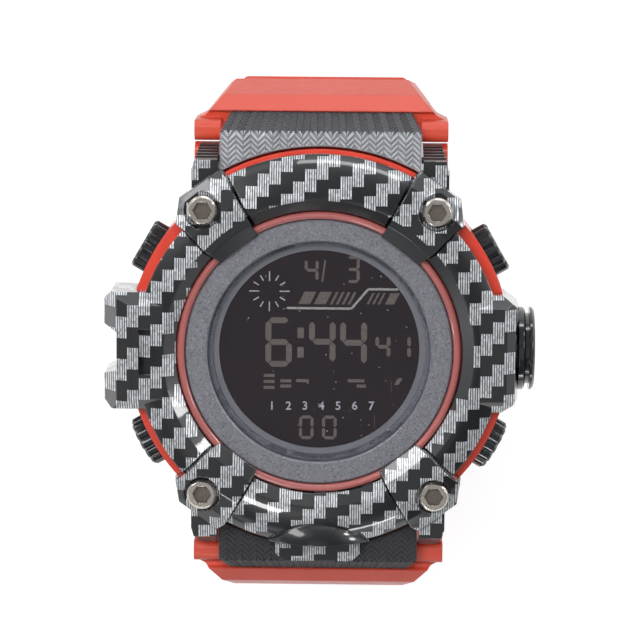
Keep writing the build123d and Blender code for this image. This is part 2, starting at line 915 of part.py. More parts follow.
def button_contacts():
    """The five side contact leaves that the button stems press."""
    leaf = block((contact_reach, contact_reach + contact_thickness),
                 (-contact_half_width, contact_half_width),
                 (pusher_height - contact_height / 2, pusher_height + contact_height / 2))
    foot = block((module_radius, contact_reach), (-contact_half_width, contact_half_width),
                 (board_low, frame_split))
    leaf += foot
    leaf -= post(module_radius, 0, body_top)
    return in_every_corner(Rot(0, 0, pusher_angle) * leaf) + [leaf]


def buzzer_disc():
    """The brass and ceramic sounder on the case back."""
    disc = post(disc_radius, back_thickness, back_thickness + disc_thickness)
    top = back_thickness + disc_thickness + ceramic_thickness
    return disc + post(ceramic_radius, back_thickness, top)


def buzzer_spring():
    """The coil that joins the sounder to the board."""
    shape = coil(disc_spring_radius, disc_spring_wire, disc_spring_turns,
                 back_thickness + disc_thickness, board_low)
    return Pos(disc_spring_reach, 0, 0) * shape


def case_back():
    """The steel back plate."""
    plate = post(back_radius, 0, back_thickness)
    plate = chamfer(plate.edges().group_by(Axis.Z)[0], back_edge_chamfer)
    for x, y in back_screw_places():
        plate -= post(back_screw_shank_radius + screw_hole_gap, -overrun, back_thickness + overrun, x, y)
        plate -= post(back_screw_head_radius + screw_hole_gap, -overrun, back_screw_head_height, x, y)
    return plate


def case_back_screws():
    """The slotted screws of the back plate."""
    screws = []
    for x, y in back_screw_places():
        head = post(back_screw_head_radius, 0, back_screw_head_height, x, y)
        slot_length = 2 * back_screw_head_radius + overrun
        slot = Box(slot_length, back_screw_slot_width, 2 * back_screw_slot_depth)
        head -= Pos(x, y, 0) * slot
        screws.append(head + post(back_screw_shank_radius, back_screw_head_height, back_screw_length, x, y))
    return screws


def case_back_gasket():
    """The round sealing ring in its groove."""
    return Pos(0, 0, back_thickness + seal_section + thread_gap) * Torus(seal_radius, seal_section)


def domed_rod(radius, near, far, edge, y=0, z=0):
    """A cylinder along X with its far edge chamfered."""
    return chamfer(rod(radius, near, far, y, z).edges().group_by(Axis.X)[-1], edge)


def pusher_cap():
    """A lobed cap along X."""
    cap = domed_rod(pusher_core_radius, pusher_cap_low, pusher_cap_high, pusher_cap_chamfer)
    for k in range(pusher_lobe_count):
        turn = 2 * pi * k / pusher_lobe_count
        cap += domed_rod(pusher_lobe_radius, pusher_cap_low, pusher_cap_high, pusher_cap_chamfer,
                         pusher_lobe_ring * cos(turn), pusher_lobe_ring * sin(turn))
    return cap


def button_stem(radius, far):
    """A button's stem along X, with the groove for its clip."""
    stem = rod(radius, pusher_stem_tip, far)
    groove_near = pusher_clip_shoulder - thread_gap - pusher_clip_thickness - thread_gap
    groove = rod(radius, groove_near, pusher_clip_shoulder)
    groove -= rod(radius - pusher_groove_depth, groove_near, pusher_clip_shoulder)
    return stem - groove


def button_clip(stem_radius, radius):
    """The open retaining clip in a stem's groove."""
    far = pusher_clip_shoulder - thread_gap
    near = far - pusher_clip_thickness
    clip = rod(radius, near, far) - rod(stem_radius - pusher_groove_depth, near, far)
    mouth = block((near, far), (-stem_radius / 2, stem_radius / 2), (0, radius + overrun))
    return clip - mouth


def button_seal(radius):
    """The sealing ring round a stem, in the wall of the case."""
    torus = Torus(radius + pusher_seal_section + thread_gap / 2, pusher_seal_section)
    return Pos(pusher_seal_place, 0, 0) * Rot(0, 90, 0) * torus


def button_spring(radius, wire, turns, near, far):
    """A return spring along X."""
    return Rot(0, 90, 0) * coil(radius, wire, turns, near, far)


def light_button():
    """The large round button cap at 3 o'clock."""
    cap = rod(light_button_radius, light_button_low, light_button_high)
    cap = chamfer(cap.edges().group_by(Axis.X)[-1], light_button_chamfer)
    dish = rod(light_button_dish_radius, light_button_high - light_button_dish_depth, light_button_high)
    return Pos(0, 0, light_button_height) * (cap - dish)


def light_button_stem():
    """The stem of the light button, with the wide hub that slides in the collar."""
    hub = rod(light_hub_radius, light_hub_low, light_button_low)
    return Pos(0, 0, light_button_height) * (button_stem(light_stem_radius, light_button_low) + hub)


def light_collar():
    """The fixed collar on the right guard, under the light button."""
    collar = rod(light_button_radius, guard_right_reach, light_collar_high)
    collar = chamfer(collar.edges().group_by(Axis.X)[-1], light_collar_chamfer)
    collar -= rod(light_bore_radius, guard_right_reach - overrun, light_collar_high + overrun)
    collar -= rod(light_hub_radius + light_hub_gap, light_recess_floor, light_collar_high + overrun)
    return Pos(0, 0, light_button_height) * collar


def spring_bar():
    """The spring bar of the upper strap."""
    bar = rod(bar_radius, -bar_half_length, bar_half_length, hinge_reach, hinge_height)
    return bar + rod(bar_tip_radius, -bar_tip_reach, bar_tip_reach, hinge_reach, hinge_height)


def on_leg(distance, depth):
    """A point of the strap leg: distance down it and depth in from its outer face."""
    start = Vector(brow_end_reach, brow_end_height)
    point = start + leg_down * distance - leg_out * depth
    return (point.X, point.Y)


def insert_lines():
    """Inner corner and inner foot of the strap insert."""
    rise = insert_plateau - insert_foot_height
    slope = atan2(rise, insert_foot_reach - insert_plateau_end)
    corner = insert_plateau_end - insert_thickness * tan(slope / 2)
    foot_reach = insert_foot_reach - insert_thickness * sin(slope)
    foot_height = insert_foot_height - insert_thickness * cos(slope)
    return (corner, insert_plateau - insert_thickness), (foot_reach, foot_height)


def shelf_room():
    """The space round the case shelf that a strap keeps clear of."""
    return post(shelf_radius + insert_shelf_gap, shelf_low - body_gap, clamp_top)


def strap_insert():
    """The textured black insert of the upper strap."""
    corner, foot = insert_lines()
    inner_reach = sqrt(shelf_radius ** 2 - insert_half_width ** 2)
    shape = side_slab(outline(
        (inner_reach, insert_plateau),
        (insert_plateau_end, insert_plateau),
        (insert_foot_reach, insert_foot_height),
        foot,
        corner,
        (inner_reach, insert_plateau - insert_thickness),
    ), -insert_half_width, insert_half_width)
    taper = prism([
        (-insert_half_width, 0),
        (insert_half_width, 0),
        (insert_half_width, insert_plateau_end),
        (insert_end_half_width, insert_foot_reach),
        (-insert_end_half_width, insert_foot_reach),
        (-insert_half_width, insert_plateau_end),
    ], 0, insert_plateau)
    return (shape & taper) - shelf_room()


def strap_head():
    """The root of a strap: barrel, arm, shoulder lobes and brow."""
    corner, foot = insert_lines()
    root_top = hinge_height + barrel_radius
    arm = side_slab(outline(
        (hinge_reach, hinge_height - barrel_radius),
        (arm_low_reach, arm_low_height),
        (arm_bend_reach, arm_bend_height),
        foot,
        corner,
        (hinge_reach - barrel_radius / 2, insert_plateau - insert_thickness),
        (hinge_reach - barrel_radius / 2, root_top - barrel_radius / 2),
    ), -insert_half_width, insert_half_width)
    arm += rod(barrel_radius, -insert_half_width, insert_half_width, hinge_reach, hinge_height)
    arm -= shelf_room()
    lobe = side_slab(outline(
        (lobe_near, lobe_low),
        (lobe_near, lobe_top),
        (lobe_far, lobe_top),
        (shoulder_reach, arm_low_height),
        (brow_ridge_reach, lobe_low),
    ), -lobe_half_width, lobe_half_width)
    round_edges = lobe.edges().filter_by(Axis.X).sort_by(Axis.Z)[-2:]
    lobe = fillet(round_edges, lobe_rounding)
    lobe -= block((-insert_half_width, insert_half_width), (0, brow_end_reach),
                  (arm_low_height, insert_plateau))
    lobe -= rod(lug_end_radius + body_gap, -lobe_half_width, lobe_half_width, hinge_reach, hinge_height)
    brow = side_slab(outline(
        foot,
        (insert_foot_reach, insert_foot_height),
        (brow_lip_reach, brow_lip_height),
        (brow_ridge_reach, brow_ridge_height),
        (brow_end_reach, brow_end_height),
        on_leg(leg_thickness, 0),
        on_leg(leg_thickness, leg_thickness),
        (arm_bend_reach, arm_bend_height),
    ), -lobe_half_width, lobe_half_width)
    return arm + lobe + brow


def strap_bounds(low):
    """The plan and front outlines that trim a strap, down to a height."""
    plan = prism([
        (-lobe_half_width, -brow_end_reach),
        (lobe_half_width, -brow_end_reach),
        (lobe_half_width, lobe_far),
        (shoulder_half_width, shoulder_reach),
        (brow_half_width, brow_end_reach),
        (-brow_half_width, brow_end_reach),
        (-shoulder_half_width, shoulder_reach),
        (-lobe_half_width, lobe_far),
    ], low, insert_plateau)
    front = front_slab([
        (-lobe_half_width, insert_plateau),
        (lobe_half_width, insert_plateau),
        (lobe_half_width, lobe_low),
        (shoulder_half_width, shoulder_taper_start),
        (leg_half_width, shoulder_taper_end),
        (leg_half_width, low),
        (-leg_half_width, low),
        (-leg_half_width, shoulder_taper_end),
        (-shoulder_half_width, shoulder_taper_start),
        (-lobe_half_width, lobe_low),
    ], -brow_end_reach, brow_end_reach)
    return plan & front


def pin_place():
    """Reach and height of the buckle pin."""
    height = buckle_reach - case_stand
    distance = (brow_end_height - height) / cos(lean) + leg_thickness / 2 * tan(lean)
    reach, height = on_leg(distance, leg_thickness / 2)
    return distance, reach, height


def soften_leg(strap):
    """Chamfer the long edges of a strap where its width is steady."""
    edges = strap.edges().filter_by(
        lambda edge: abs(abs(edge.center().X) - leg_half_width) < thread_gap
        and edge.length > 2 * leg_thickness
    )
    return chamfer(edges, leg_edge_chamfer)


def short_strap():
    """The upper strap half, which carries the buckle."""
    distance, reach, height = pin_place()
    leg = side_slab(outline(
        on_leg(0, 0),
        on_leg(distance, 0),
        on_leg(distance, leg_thickness),
        on_leg(leg_thickness, leg_thickness),
        (arm_bend_reach, arm_bend_height),
    ), -lobe_half_width, lobe_half_width)
    leg += rod(strap_end_radius, -lobe_half_width, lobe_half_width, reach, height)
    strap = strap_head() + leg
    strap &= strap_bounds(height - strap_end_radius - overrun)
    strap = soften_leg(strap)
    strap -= rod(pin_radius + running_gap, -lobe_half_width, lobe_half_width, reach, height)
    strap -= rod(bar_radius + running_gap, -lobe_half_width, lobe_half_width, hinge_reach, hinge_height)
    slot_low = height - strap_end_radius - overrun
    strap -= block((-slot_half_width, slot_half_width), (0, brow_end_reach), (slot_low, height + slot_rise))
    return strap


def foot_frame():
    """Where the long strap leaves its leg, and the centre of its bend."""
    table = -case_stand
    bend_height = table + foot_bend_radius - foot_bend_radius * sin(lean)
    distance = (brow_end_height - bend_height) / cos(lean)
    reach, height = on_leg(distance, 0)
    return distance, reach - foot_bend_radius * cos(lean), table + foot_bend_radius


def tail_place(travel):
    """Reach, height and turn of the long strap, measured back from its tip along its outer face."""
    distance, centre, middle = foot_frame()
    flat = centre + foot_tip_reach
    bend = foot_bend_radius * (pi / 2 - lean)
    if travel < flat:
        return travel - foot_tip_reach, middle - foot_bend_radius, 0
    if travel < flat + bend:
        turn = (travel - flat) / foot_bend_radius
        return centre + foot_bend_radius * sin(turn), middle - foot_bend_radius * cos(turn), degrees(turn)
    reach, height = on_leg(distance - (travel - flat - bend), 0)
    return reach, height, degrees(pi / 2 - lean)


def long_strap():
    """The lower strap half, drawn at 12 o'clock, with its foot on the table and its holes."""
    distance, centre, middle = foot_frame()
    outer = foot_bend_radius
    inner = foot_bend_radius - leg_thickness
    half = (pi / 2 - lean) / 2
    low = middle - outer
    edges = Polyline(
        (centre, low),
        (-foot_tip_reach, low),
        (-foot_tip_reach, low + leg_thickness),
        (centre, low + leg_thickness),
    )
    edges += ThreePointArc(
        (centre, middle - inner),
        (centre + inner * sin(half), middle - inner * cos(half)),
        on_leg(distance, leg_thickness),
    )
    edges += Polyline(
        on_leg(distance, leg_thickness),
        on_leg(leg_thickness, leg_thickness),
        (arm_bend_reach, arm_bend_height),
        on_leg(0, 0),
        on_leg(distance, 0),
    )
    edges += ThreePointArc(
        on_leg(distance, 0),
        (centre + outer * sin(half), middle - outer * cos(half)),
        (centre, low),
    )
    strap = strap_head() + side_slab(edges, -lobe_half_width, lobe_half_width)
    strap &= strap_bounds(low)
    tip = prism([
        (-leg_half_width, -foot_tip_reach + foot_tip_round),
        (-leg_half_width + foot_tip_round, -foot_tip_reach),
        (leg_half_width - foot_tip_round, -foot_tip_reach),
        (leg_half_width, -foot_tip_reach + foot_tip_round),
        (leg_half_width, middle + case_stand),
        (lobe_half_width, brow_end_reach),
        (-lobe_half_width, brow_end_reach),
        (-leg_half_width, middle + case_stand),
    ], low, middle)
    strap -= block((-lobe_half_width, lobe_half_width), (-brow_end_reach, centre), (low, middle)) - tip
    strap = soften_leg(strap)
    for k in range(hole_count):
        reach, height, turn = tail_place(hole_first + k * hole_pitch)
        hole = Cylinder(hole_radius, 2 * leg_thickness + overrun)
        strap -= Pos(0, reach, height) * Rot(turn, 0, 0) * hole
    strap -= rod(bar_radius + running_gap, -lobe_half_width, lobe_half_width, hinge_reach, hinge_height)
    return strap


def buckle_frame():
    """The steel buckle frame, hanging from its pin."""
    distance, reach, height = pin_place()
    low = height - buckle_reach
    half_depth = buckle_thickness / 2
    outer = block((-buckle_half_width, buckle_half_width), (reach - half_depth, reach + half_depth),
                  (low, height + buckle_ear_rise))
    outer = fillet(outer.edges().filter_by(Axis.Y), buckle_corner)
    top = height + buckle_ear_rise + overrun
    frame = outer - block((-buckle_arm_inner, buckle_arm_inner),
                          (reach - buckle_thickness, reach + buckle_thickness),
                          (low + buckle_bar_height, top))
    notch_near = reach + half_depth - buckle_notch_depth
    frame -= block((-buckle_notch_half, buckle_notch_half), (notch_near, reach + buckle_thickness),
                   (low - overrun, low + buckle_bar_height + overrun))
    return frame - rod(pin_radius, -pin_half_length, pin_half_length, reach, height)


def buckle_pin():
    """The pin of the buckle."""
    distance, reach, height = pin_place()
    return rod(pin_radius, -pin_half_length, pin_half_length, reach, height)


def buckle_tongue():
    """The tongue on the pin, lying in the notch of the frame."""
    distance, reach, height = pin_place()
    low = height - buckle_reach
    face = reach + buckle_thickness / 2 - buckle_notch_depth + thread_gap
    far = face + tongue_thickness
    bar_top = low + buckle_bar_height
    shank = side_slab(outline(
        (reach, height + tongue_hub_radius / 2),
        (reach, height - tongue_hub_radius / 2),
        (face, bar_top + tongue_thickness),
        (face, low + tongue_overhang),
        (far, low + tongue_overhang),
        (far, bar_top + tongue_thickness),
    ), -tongue_half_width, tongue_half_width)
    hub = rod(tongue_hub_radius, -tongue_half_width, tongue_half_width, reach, height)
    eye = rod(pin_radius + running_gap, -buckle_arm_inner, buckle_arm_inner, reach, height)
    return hub + shank - eye


def keeper():
    """The loose loop on the short strap, its free room on the wrist side."""
    distance, reach, height = pin_place()
    middle = on_leg(distance - keeper_rise, leg_thickness / 2)
    depth = leg_thickness + 2 * keeper_side_gap + keeper_room
    half_width = leg_half_width + keeper_side_gap
    inside = Box(2 * half_width, depth, keeper_length + overrun)
    outside = Box(2 * (half_width + keeper_wall), depth + 2 * keeper_wall, keeper_length)
    outside = fillet(outside.edges().filter_by(Axis.Z), keeper_corner)
    loop = Pos(0, -keeper_room / 2, 0) * (outside - inside)
    return Pos(0, *middle) * Rot(-leg_lean, 0, 0) * loop


def lower(shape):
    """Mirror an upper piece to 6 o'clock."""
    return mirror(shape, about=Plane.XZ)


def save(name, shape):
    """Lift a piece or a group of pieces onto the stand and write it."""
    solids = [solid for part in (shape if isinstance(shape, list) else [shape]) for solid in part.solids()]
    lifted = [Pos(0, 0, case_stand) * solid for solid in solids]
    export_step(lifted[0] if len(lifted) == 1 else Compound(children=lifted), f"parts/{name}.step")


def save_case():
    """Write the case, the bezel and what they hold."""
    save("case_body", case_body())
    save("case_back", case_back())
    save("case_back_gasket", case_back_gasket())
    save("case_back_screws", case_back_screws())
    save("bezel_guard", bezel_guard())
    save("bezel_screws", in_every_corner(bezel_screw()))
    for name, corner in corners.items():
        save(f"corner_clamp_{name}", to_corner(corner_clamp(), corner))
    save("accent_ring", accent_ring())
    save("crystal_ring", crystal_ring())
    save("crystal", crystal())
    save("dial_mask", dial_mask())


def save_module():
    """Write the display, the board and the sounder."""
    save("lcd_panel", lcd_panel())
    save("backlight", backlight())
    save("zebra_strips", zebra_strips())
    save("module_frame_upper", module_frame_upper())
    save("circuit_board", circuit_board())
    save("chip", chip())
    save("quartz_can", quartz_can())
    save("module_frame_lower", module_frame_lower())
    save("battery", battery())
    save("battery_clip", battery_clip())
    save("button_contacts", button_contacts())
    save("buzzer_disc", buzzer_disc())
    save("buzzer_spring", buzzer_spring())


def save_buttons():
    """Write the pushers and the light button."""
    pusher = {
        "pusher_cap": pusher_cap(),
        "pusher_stem": button_stem(pusher_stem_radius, pusher_cap_low),
        "pusher_clip": button_clip(pusher_stem_radius, pusher_clip_radius),
        "pusher_spring": button_spring(pusher_spring_radius, pusher_spring_wire, pusher_spring_turns,
                                       pusher_bore_floor, pusher_cap_low),
    }
    for corner_name, corner in corners.items():
        for piece_name, piece in pusher.items():
            save(f"{piece_name}_{corner_name}", to_corner(on_pusher_axis(piece), corner))
    at_light = Pos(0, 0, light_button_height)
    seals = in_every_corner(on_pusher_axis(button_seal(pusher_stem_radius)))
    save("button_seals", seals + [at_light * button_seal(light_stem_radius)])
    save("light_button", light_button())
    save("light_button_collar", light_collar())
    save("light_button_stem", light_button_stem())
    save("light_button_clip", at_light * button_clip(light_stem_radius, light_clip_radius))
    save("light_button_spring", at_light * button_spring(
        light_spring_radius, light_spring_wire, light_spring_turns, light_bore_floor, light_hub_low))


def save_straps():
    """Write the spring bars, the strap halves, the buckle and the keeper."""
    save("spring_bar_12", spring_bar())
    save("spring_bar_6", lower(spring_bar()))
    save("strap_12", short_strap())
    save("strap_insert_12", strap_insert())
    save("strap_6", lower(long_strap()))
    save("strap_insert_6", lower(strap_insert()))
    save("buckle_frame", buckle_frame())
    save("buckle_pin", buckle_pin())
    save("buckle_tongue", buckle_tongue())
    save("keeper", keeper())


save_case()
save_module()
save_buttons()
save_straps()
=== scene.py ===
import json
from math import atan2, cos, hypot, pi, radians, sin, sqrt, tan

import bmesh
import bpy
from mathutils import Matrix, Vector


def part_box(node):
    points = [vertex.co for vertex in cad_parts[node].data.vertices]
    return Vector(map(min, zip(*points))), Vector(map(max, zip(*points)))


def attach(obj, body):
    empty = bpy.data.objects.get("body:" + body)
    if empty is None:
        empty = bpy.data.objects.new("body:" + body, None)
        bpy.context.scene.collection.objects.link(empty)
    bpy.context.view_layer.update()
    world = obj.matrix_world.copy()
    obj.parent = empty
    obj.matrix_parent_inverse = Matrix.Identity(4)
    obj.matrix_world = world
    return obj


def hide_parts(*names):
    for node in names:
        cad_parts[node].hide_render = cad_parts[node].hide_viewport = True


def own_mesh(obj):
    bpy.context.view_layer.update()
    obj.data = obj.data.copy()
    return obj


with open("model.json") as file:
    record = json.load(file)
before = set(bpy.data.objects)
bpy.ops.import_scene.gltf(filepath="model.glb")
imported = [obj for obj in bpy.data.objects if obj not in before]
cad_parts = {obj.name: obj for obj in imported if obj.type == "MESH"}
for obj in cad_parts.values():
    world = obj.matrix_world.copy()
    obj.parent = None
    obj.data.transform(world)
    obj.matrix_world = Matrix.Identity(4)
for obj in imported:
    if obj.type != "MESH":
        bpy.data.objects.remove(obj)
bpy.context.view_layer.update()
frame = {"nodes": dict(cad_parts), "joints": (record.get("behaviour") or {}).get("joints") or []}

bl_info = {
    "name": "Digital sports watch",
    "version": (1, 0, 0),
    "blender": (4, 5, 0),
    "location": "3D View > Sidebar > Watch",
    "description": "Dresses the watch's solid parts and adds its ribs, springs and display",
    "category": "Object",
}

MM = 0.001


def linear(colour):
    """Turn an sRGB hex value to linear red, green and blue."""
    parts = [int(colour[i:i + 2], 16) / 255 for i in (1, 3, 5)]
    return [p / 12.92 if p <= 0.04045 else ((p + 0.055) / 1.055) ** 2.4 for p in parts]


def opaque(colour):
    """The same with an alpha of one, for a colour socket."""
    return (*linear(colour), 1.0)


# Sizes and colours that a user would change

class WatchSizes(bpy.types.PropertyGroup):
    print_column: bpy.props.FloatProperty(
        name="Print column", description="Width of one block of the printed weave",
        default=1.54 * MM, unit="LENGTH", precision=5)
    print_period: bpy.props.FloatProperty(
        name="Print period", description="Distance between like blocks down one column",
        default=5.6 * MM, unit="LENGTH", precision=5)
    print_step: bpy.props.FloatProperty(
        name="Print step", description="How far each column stands above the one to its left",
        default=1.57 * MM, unit="LENGTH", precision=5)
    rib_pitch: bpy.props.FloatProperty(
        name="Rib pitch", description="Distance between herringbone ribs on the inserts",
        default=0.72 * MM, unit="LENGTH", precision=5)
    rib_column: bpy.props.FloatProperty(
        name="Rib column", description="Width of one column of herringbone ribs",
        default=0.965 * MM, unit="LENGTH", precision=5)
    rib_height: bpy.props.FloatProperty(
        name="Rib height", description="How far the ribs stand out of the insert",
        default=0.3 * MM, unit="LENGTH", precision=5)
    segment_width: bpy.props.FloatProperty(
        name="Segment width", description="Width of a segment of the large digits",
        default=0.78 * MM, unit="LENGTH", precision=5)


class WatchColours(bpy.types.PropertyGroup):
    strap: bpy.props.FloatVectorProperty(
        name="Strap", description="Resin of the strap halves and the loop",
        default=linear("#cc4b38"), subtype="COLOR", min=0, max=1)
    case: bpy.props.FloatVectorProperty(
        name="Case", description="Plastic of the case body",
        default=linear("#d03c28"), subtype="COLOR", min=0, max=1)
    insert: bpy.props.FloatVectorProperty(
        name="Insert", description="Rubber of the strap inserts",
        default=linear("#37363a"), subtype="COLOR", min=0, max=1)
    # Both inserts are one rubber: the upper one's faces that look up are painted paler, bloom and
    # painted light; the lower one's are painted darker, painted shadow under the bezel
    bloom_and_light_12: bpy.props.FloatVectorProperty(
        name="Upper insert bloom and painted light", description="Bloom and painted light on the insert at 12 o'clock",
        default=linear("#bcbfc4"), subtype="COLOR", min=0, max=1)
    painted_shade_6: bpy.props.FloatVectorProperty(
        name="Lower insert painted shade", description="Painted shade on the insert at 6 o'clock",
        default=linear("#303135"), subtype="COLOR", min=0, max=1)
    film_dark: bpy.props.FloatVectorProperty(
        name="Print ground", description="Dark ground of the printed weave",
        default=linear("#0b0c0e"), subtype="COLOR", min=0, max=1)
    film_light: bpy.props.FloatVectorProperty(
        name="Print lines", description="Silver lines of the printed weave",
        default=linear("#dcdfe3"), subtype="COLOR", min=0, max=1)
    display: bpy.props.FloatVectorProperty(
        name="Display", description="Dark field of the display",
        default=linear("#241b1f"), subtype="COLOR", min=0, max=1)
    segments: bpy.props.FloatVectorProperty(
        name="Segments", description="Lit segments of the display",
        default=linear("#756a63"), subtype="COLOR", min=0, max=1)


# Parts that materials are made of

def add(tree, kind, feed=None, **settings):
    """Add a node with its settings, and set or link its sockets.

    A node given as a feed stands for its first output."""
    made = tree.nodes.new(kind)
    for name, value in settings.items():
        setattr(made, name, value)
    for socket, value in (feed or {}).items():
        if isinstance(value, bpy.types.Node):
            value = value.outputs[0]
        if isinstance(value, bpy.types.NodeSocket):
            tree.links.new(value, made.inputs[socket])
        else:
            made.inputs[socket].default_value = value
    return made


def blank(name):
    """A new material and its tree, with no nodes yet."""
    material = bpy.data.materials.new(name)
    material.use_nodes = True
    material.node_tree.nodes.clear()
    return material, material.node_tree


def patterned(name):
    """A new material, its tree, and the place on the object in millimetres."""
    material, tree = blank(name)
    place = add(tree, "ShaderNodeTexCoord")
    here = add(tree, "ShaderNodeVectorMath", {0: place.outputs["Object"], "Scale": 1 / MM},
               operation="SCALE")
    return material, tree, here


def finished(material, shader):
    """Join a shader to the output of its material, and give the material back."""
    add(material.node_tree, "ShaderNodeOutputMaterial", {"Surface": shader})
    return material


def clouded(tree, here, per_mm, detail, first, second):
    """Soft patches, so many to a millimetre, and a colour that drifts with them."""
    noise = add(tree, "ShaderNodeTexNoise", {"Vector": here, "Scale": per_mm, "Detail": detail})
    tint = add(tree, "ShaderNodeMix", {
        0: noise.outputs["Fac"], 6: first, 7: second}, data_type="RGBA")
    return noise.outputs["Fac"], tint.outputs[2]


def grain(tree, here, size, depth, edge=0):
    """A bump of soft grain, over edges rounded by a radius, all in millimetres."""
    noise = add(tree, "ShaderNodeTexNoise", {"Vector": here, "Scale": 1 / size, "Detail": 2.0})
    bump = add(tree, "ShaderNodeBump", {
        "Strength": 1.0, "Distance": depth * MM, "Height": noise.outputs["Fac"]})
    if edge:
        rounded = add(tree, "ShaderNodeBevel", {"Radius": edge * MM}, samples=6)
        tree.links.new(rounded.outputs[0], bump.inputs["Normal"])
    return bump


# The printed film, in millimetres: where its columns and blocks start, what share of
# a period and of a thread is silver, and how many uneven dashes a thread has
FIRST_COLUMN = 3.47
FIRST_BLOCK = 19.75
BLOCK_SHARE = 0.51
THREADS_IN_COLUMN = 5
THREAD_SHARE = 0.62
DASHES_PER_MM = 2.6
# A face is printed from above where its normal rises more than this
FACES_UP = 0.38
# The film stops at the guard's lip, except on its lower left side: the way that the
# side's edge faces, and how far the edge is from the middle in that way
LIP_RADIUS = 20.2
LIP_EDGE_FACES = (0.5, 1.0, 0)
LIP_EDGE = 4.0
# It stops on the ribbed ends of the lug covers: past a distance, below a height and
# outside the middle
COVER_END = 25.05
COVER_HEIGHT = 68.5
COVER_INNER = 12.0
# It stops on the upper half of the oval swelling: its place and its half axes
SWELLING_PLACE = -25.5
SWELLING_AXES = (6.6, 2.8)


def weave_place(tree, here):
    """Two ways over the film in millimetres: across its threads and along them."""
    facing = add(tree, "ShaderNodeTexCoord")
    size = add(tree, "ShaderNodeVectorMath", {0: facing.outputs["Normal"]}, operation="ABSOLUTE")
    normal = add(tree, "ShaderNodeSeparateXYZ", {0: size})
    place = add(tree, "ShaderNodeSeparateXYZ", {0: here})
    flat = add(tree, "ShaderNodeMath", {0: normal.outputs[2], 1: FACES_UP},
               operation="GREATER_THAN")
    sideways = add(tree, "ShaderNodeMath", {0: normal.outputs[0], 1: normal.outputs[1]},
                   operation="GREATER_THAN")
    on_side = add(tree, "ShaderNodeMix", {0: sideways, 2: place.outputs[0], 3: place.outputs[1]})
    across = add(tree, "ShaderNodeMix", {0: flat, 2: on_side, 3: place.outputs[0]})
    along = add(tree, "ShaderNodeMix", {0: flat, 2: place.outputs[2], 3: place.outputs[1]})
    return across, along


def weave_ink(tree, across, along, sizes):
    """How much silver the weave has: threads in blocks, each column a step higher."""
    column_width = sizes.print_column / MM
    counted = add(tree, "ShaderNodeMath", {0: across, 1: FIRST_COLUMN}, operation="ADD")
    column = add(tree, "ShaderNodeMath", {0: counted, 1: column_width}, operation="DIVIDE")
    index = add(tree, "ShaderNodeMath", {0: column}, operation="FLOOR")
    rise = add(tree, "ShaderNodeMath", {0: index, 1: sizes.print_step / MM}, operation="MULTIPLY")
    lifted = add(tree, "ShaderNodeMath", {0: along, 1: rise}, operation="SUBTRACT")
    shifted = add(tree, "ShaderNodeMath", {0: lifted, 1: FIRST_BLOCK}, operation="SUBTRACT")
    turns = add(tree, "ShaderNodeMath", {0: shifted, 1: sizes.print_period / MM},
                operation="DIVIDE")
    phase = add(tree, "ShaderNodeMath", {0: turns}, operation="FRACT")
    block = add(tree, "ShaderNodeMath", {0: phase, 1: BLOCK_SHARE}, operation="LESS_THAN")
    threads = add(tree, "ShaderNodeMath", {
        0: counted, 1: THREADS_IN_COLUMN / column_width}, operation="MULTIPLY")
    thread = add(tree, "ShaderNodeMath", {0: threads}, operation="FRACT")
    inked = add(tree, "ShaderNodeMath", {0: thread, 1: THREAD_SHARE}, operation="LESS_THAN")
    drawn = add(tree, "ShaderNodeMath", {0: block, 1: inked}, operation="MULTIPLY")
    number = add(tree, "ShaderNodeMath", {0: threads}, operation="FLOOR")
    dashes = add(tree, "ShaderNodeMath", {0: along, 1: DASHES_PER_MM}, operation="MULTIPLY")
    dash = add(tree, "ShaderNodeMath", {0: dashes}, operation="FLOOR")
    cell = add(tree, "ShaderNodeCombineXYZ", {0: number, 1: dash})
    uneven = add(tree, "ShaderNodeTexWhiteNoise", {"Vector": cell}, noise_dimensions="2D")
    strength = add(tree, "ShaderNodeMapRange", {0: uneven.outputs["Value"], 3: 0.5, 4: 1.0})
    return add(tree, "ShaderNodeMath", {0: drawn, 1: strength}, operation="MULTIPLY")


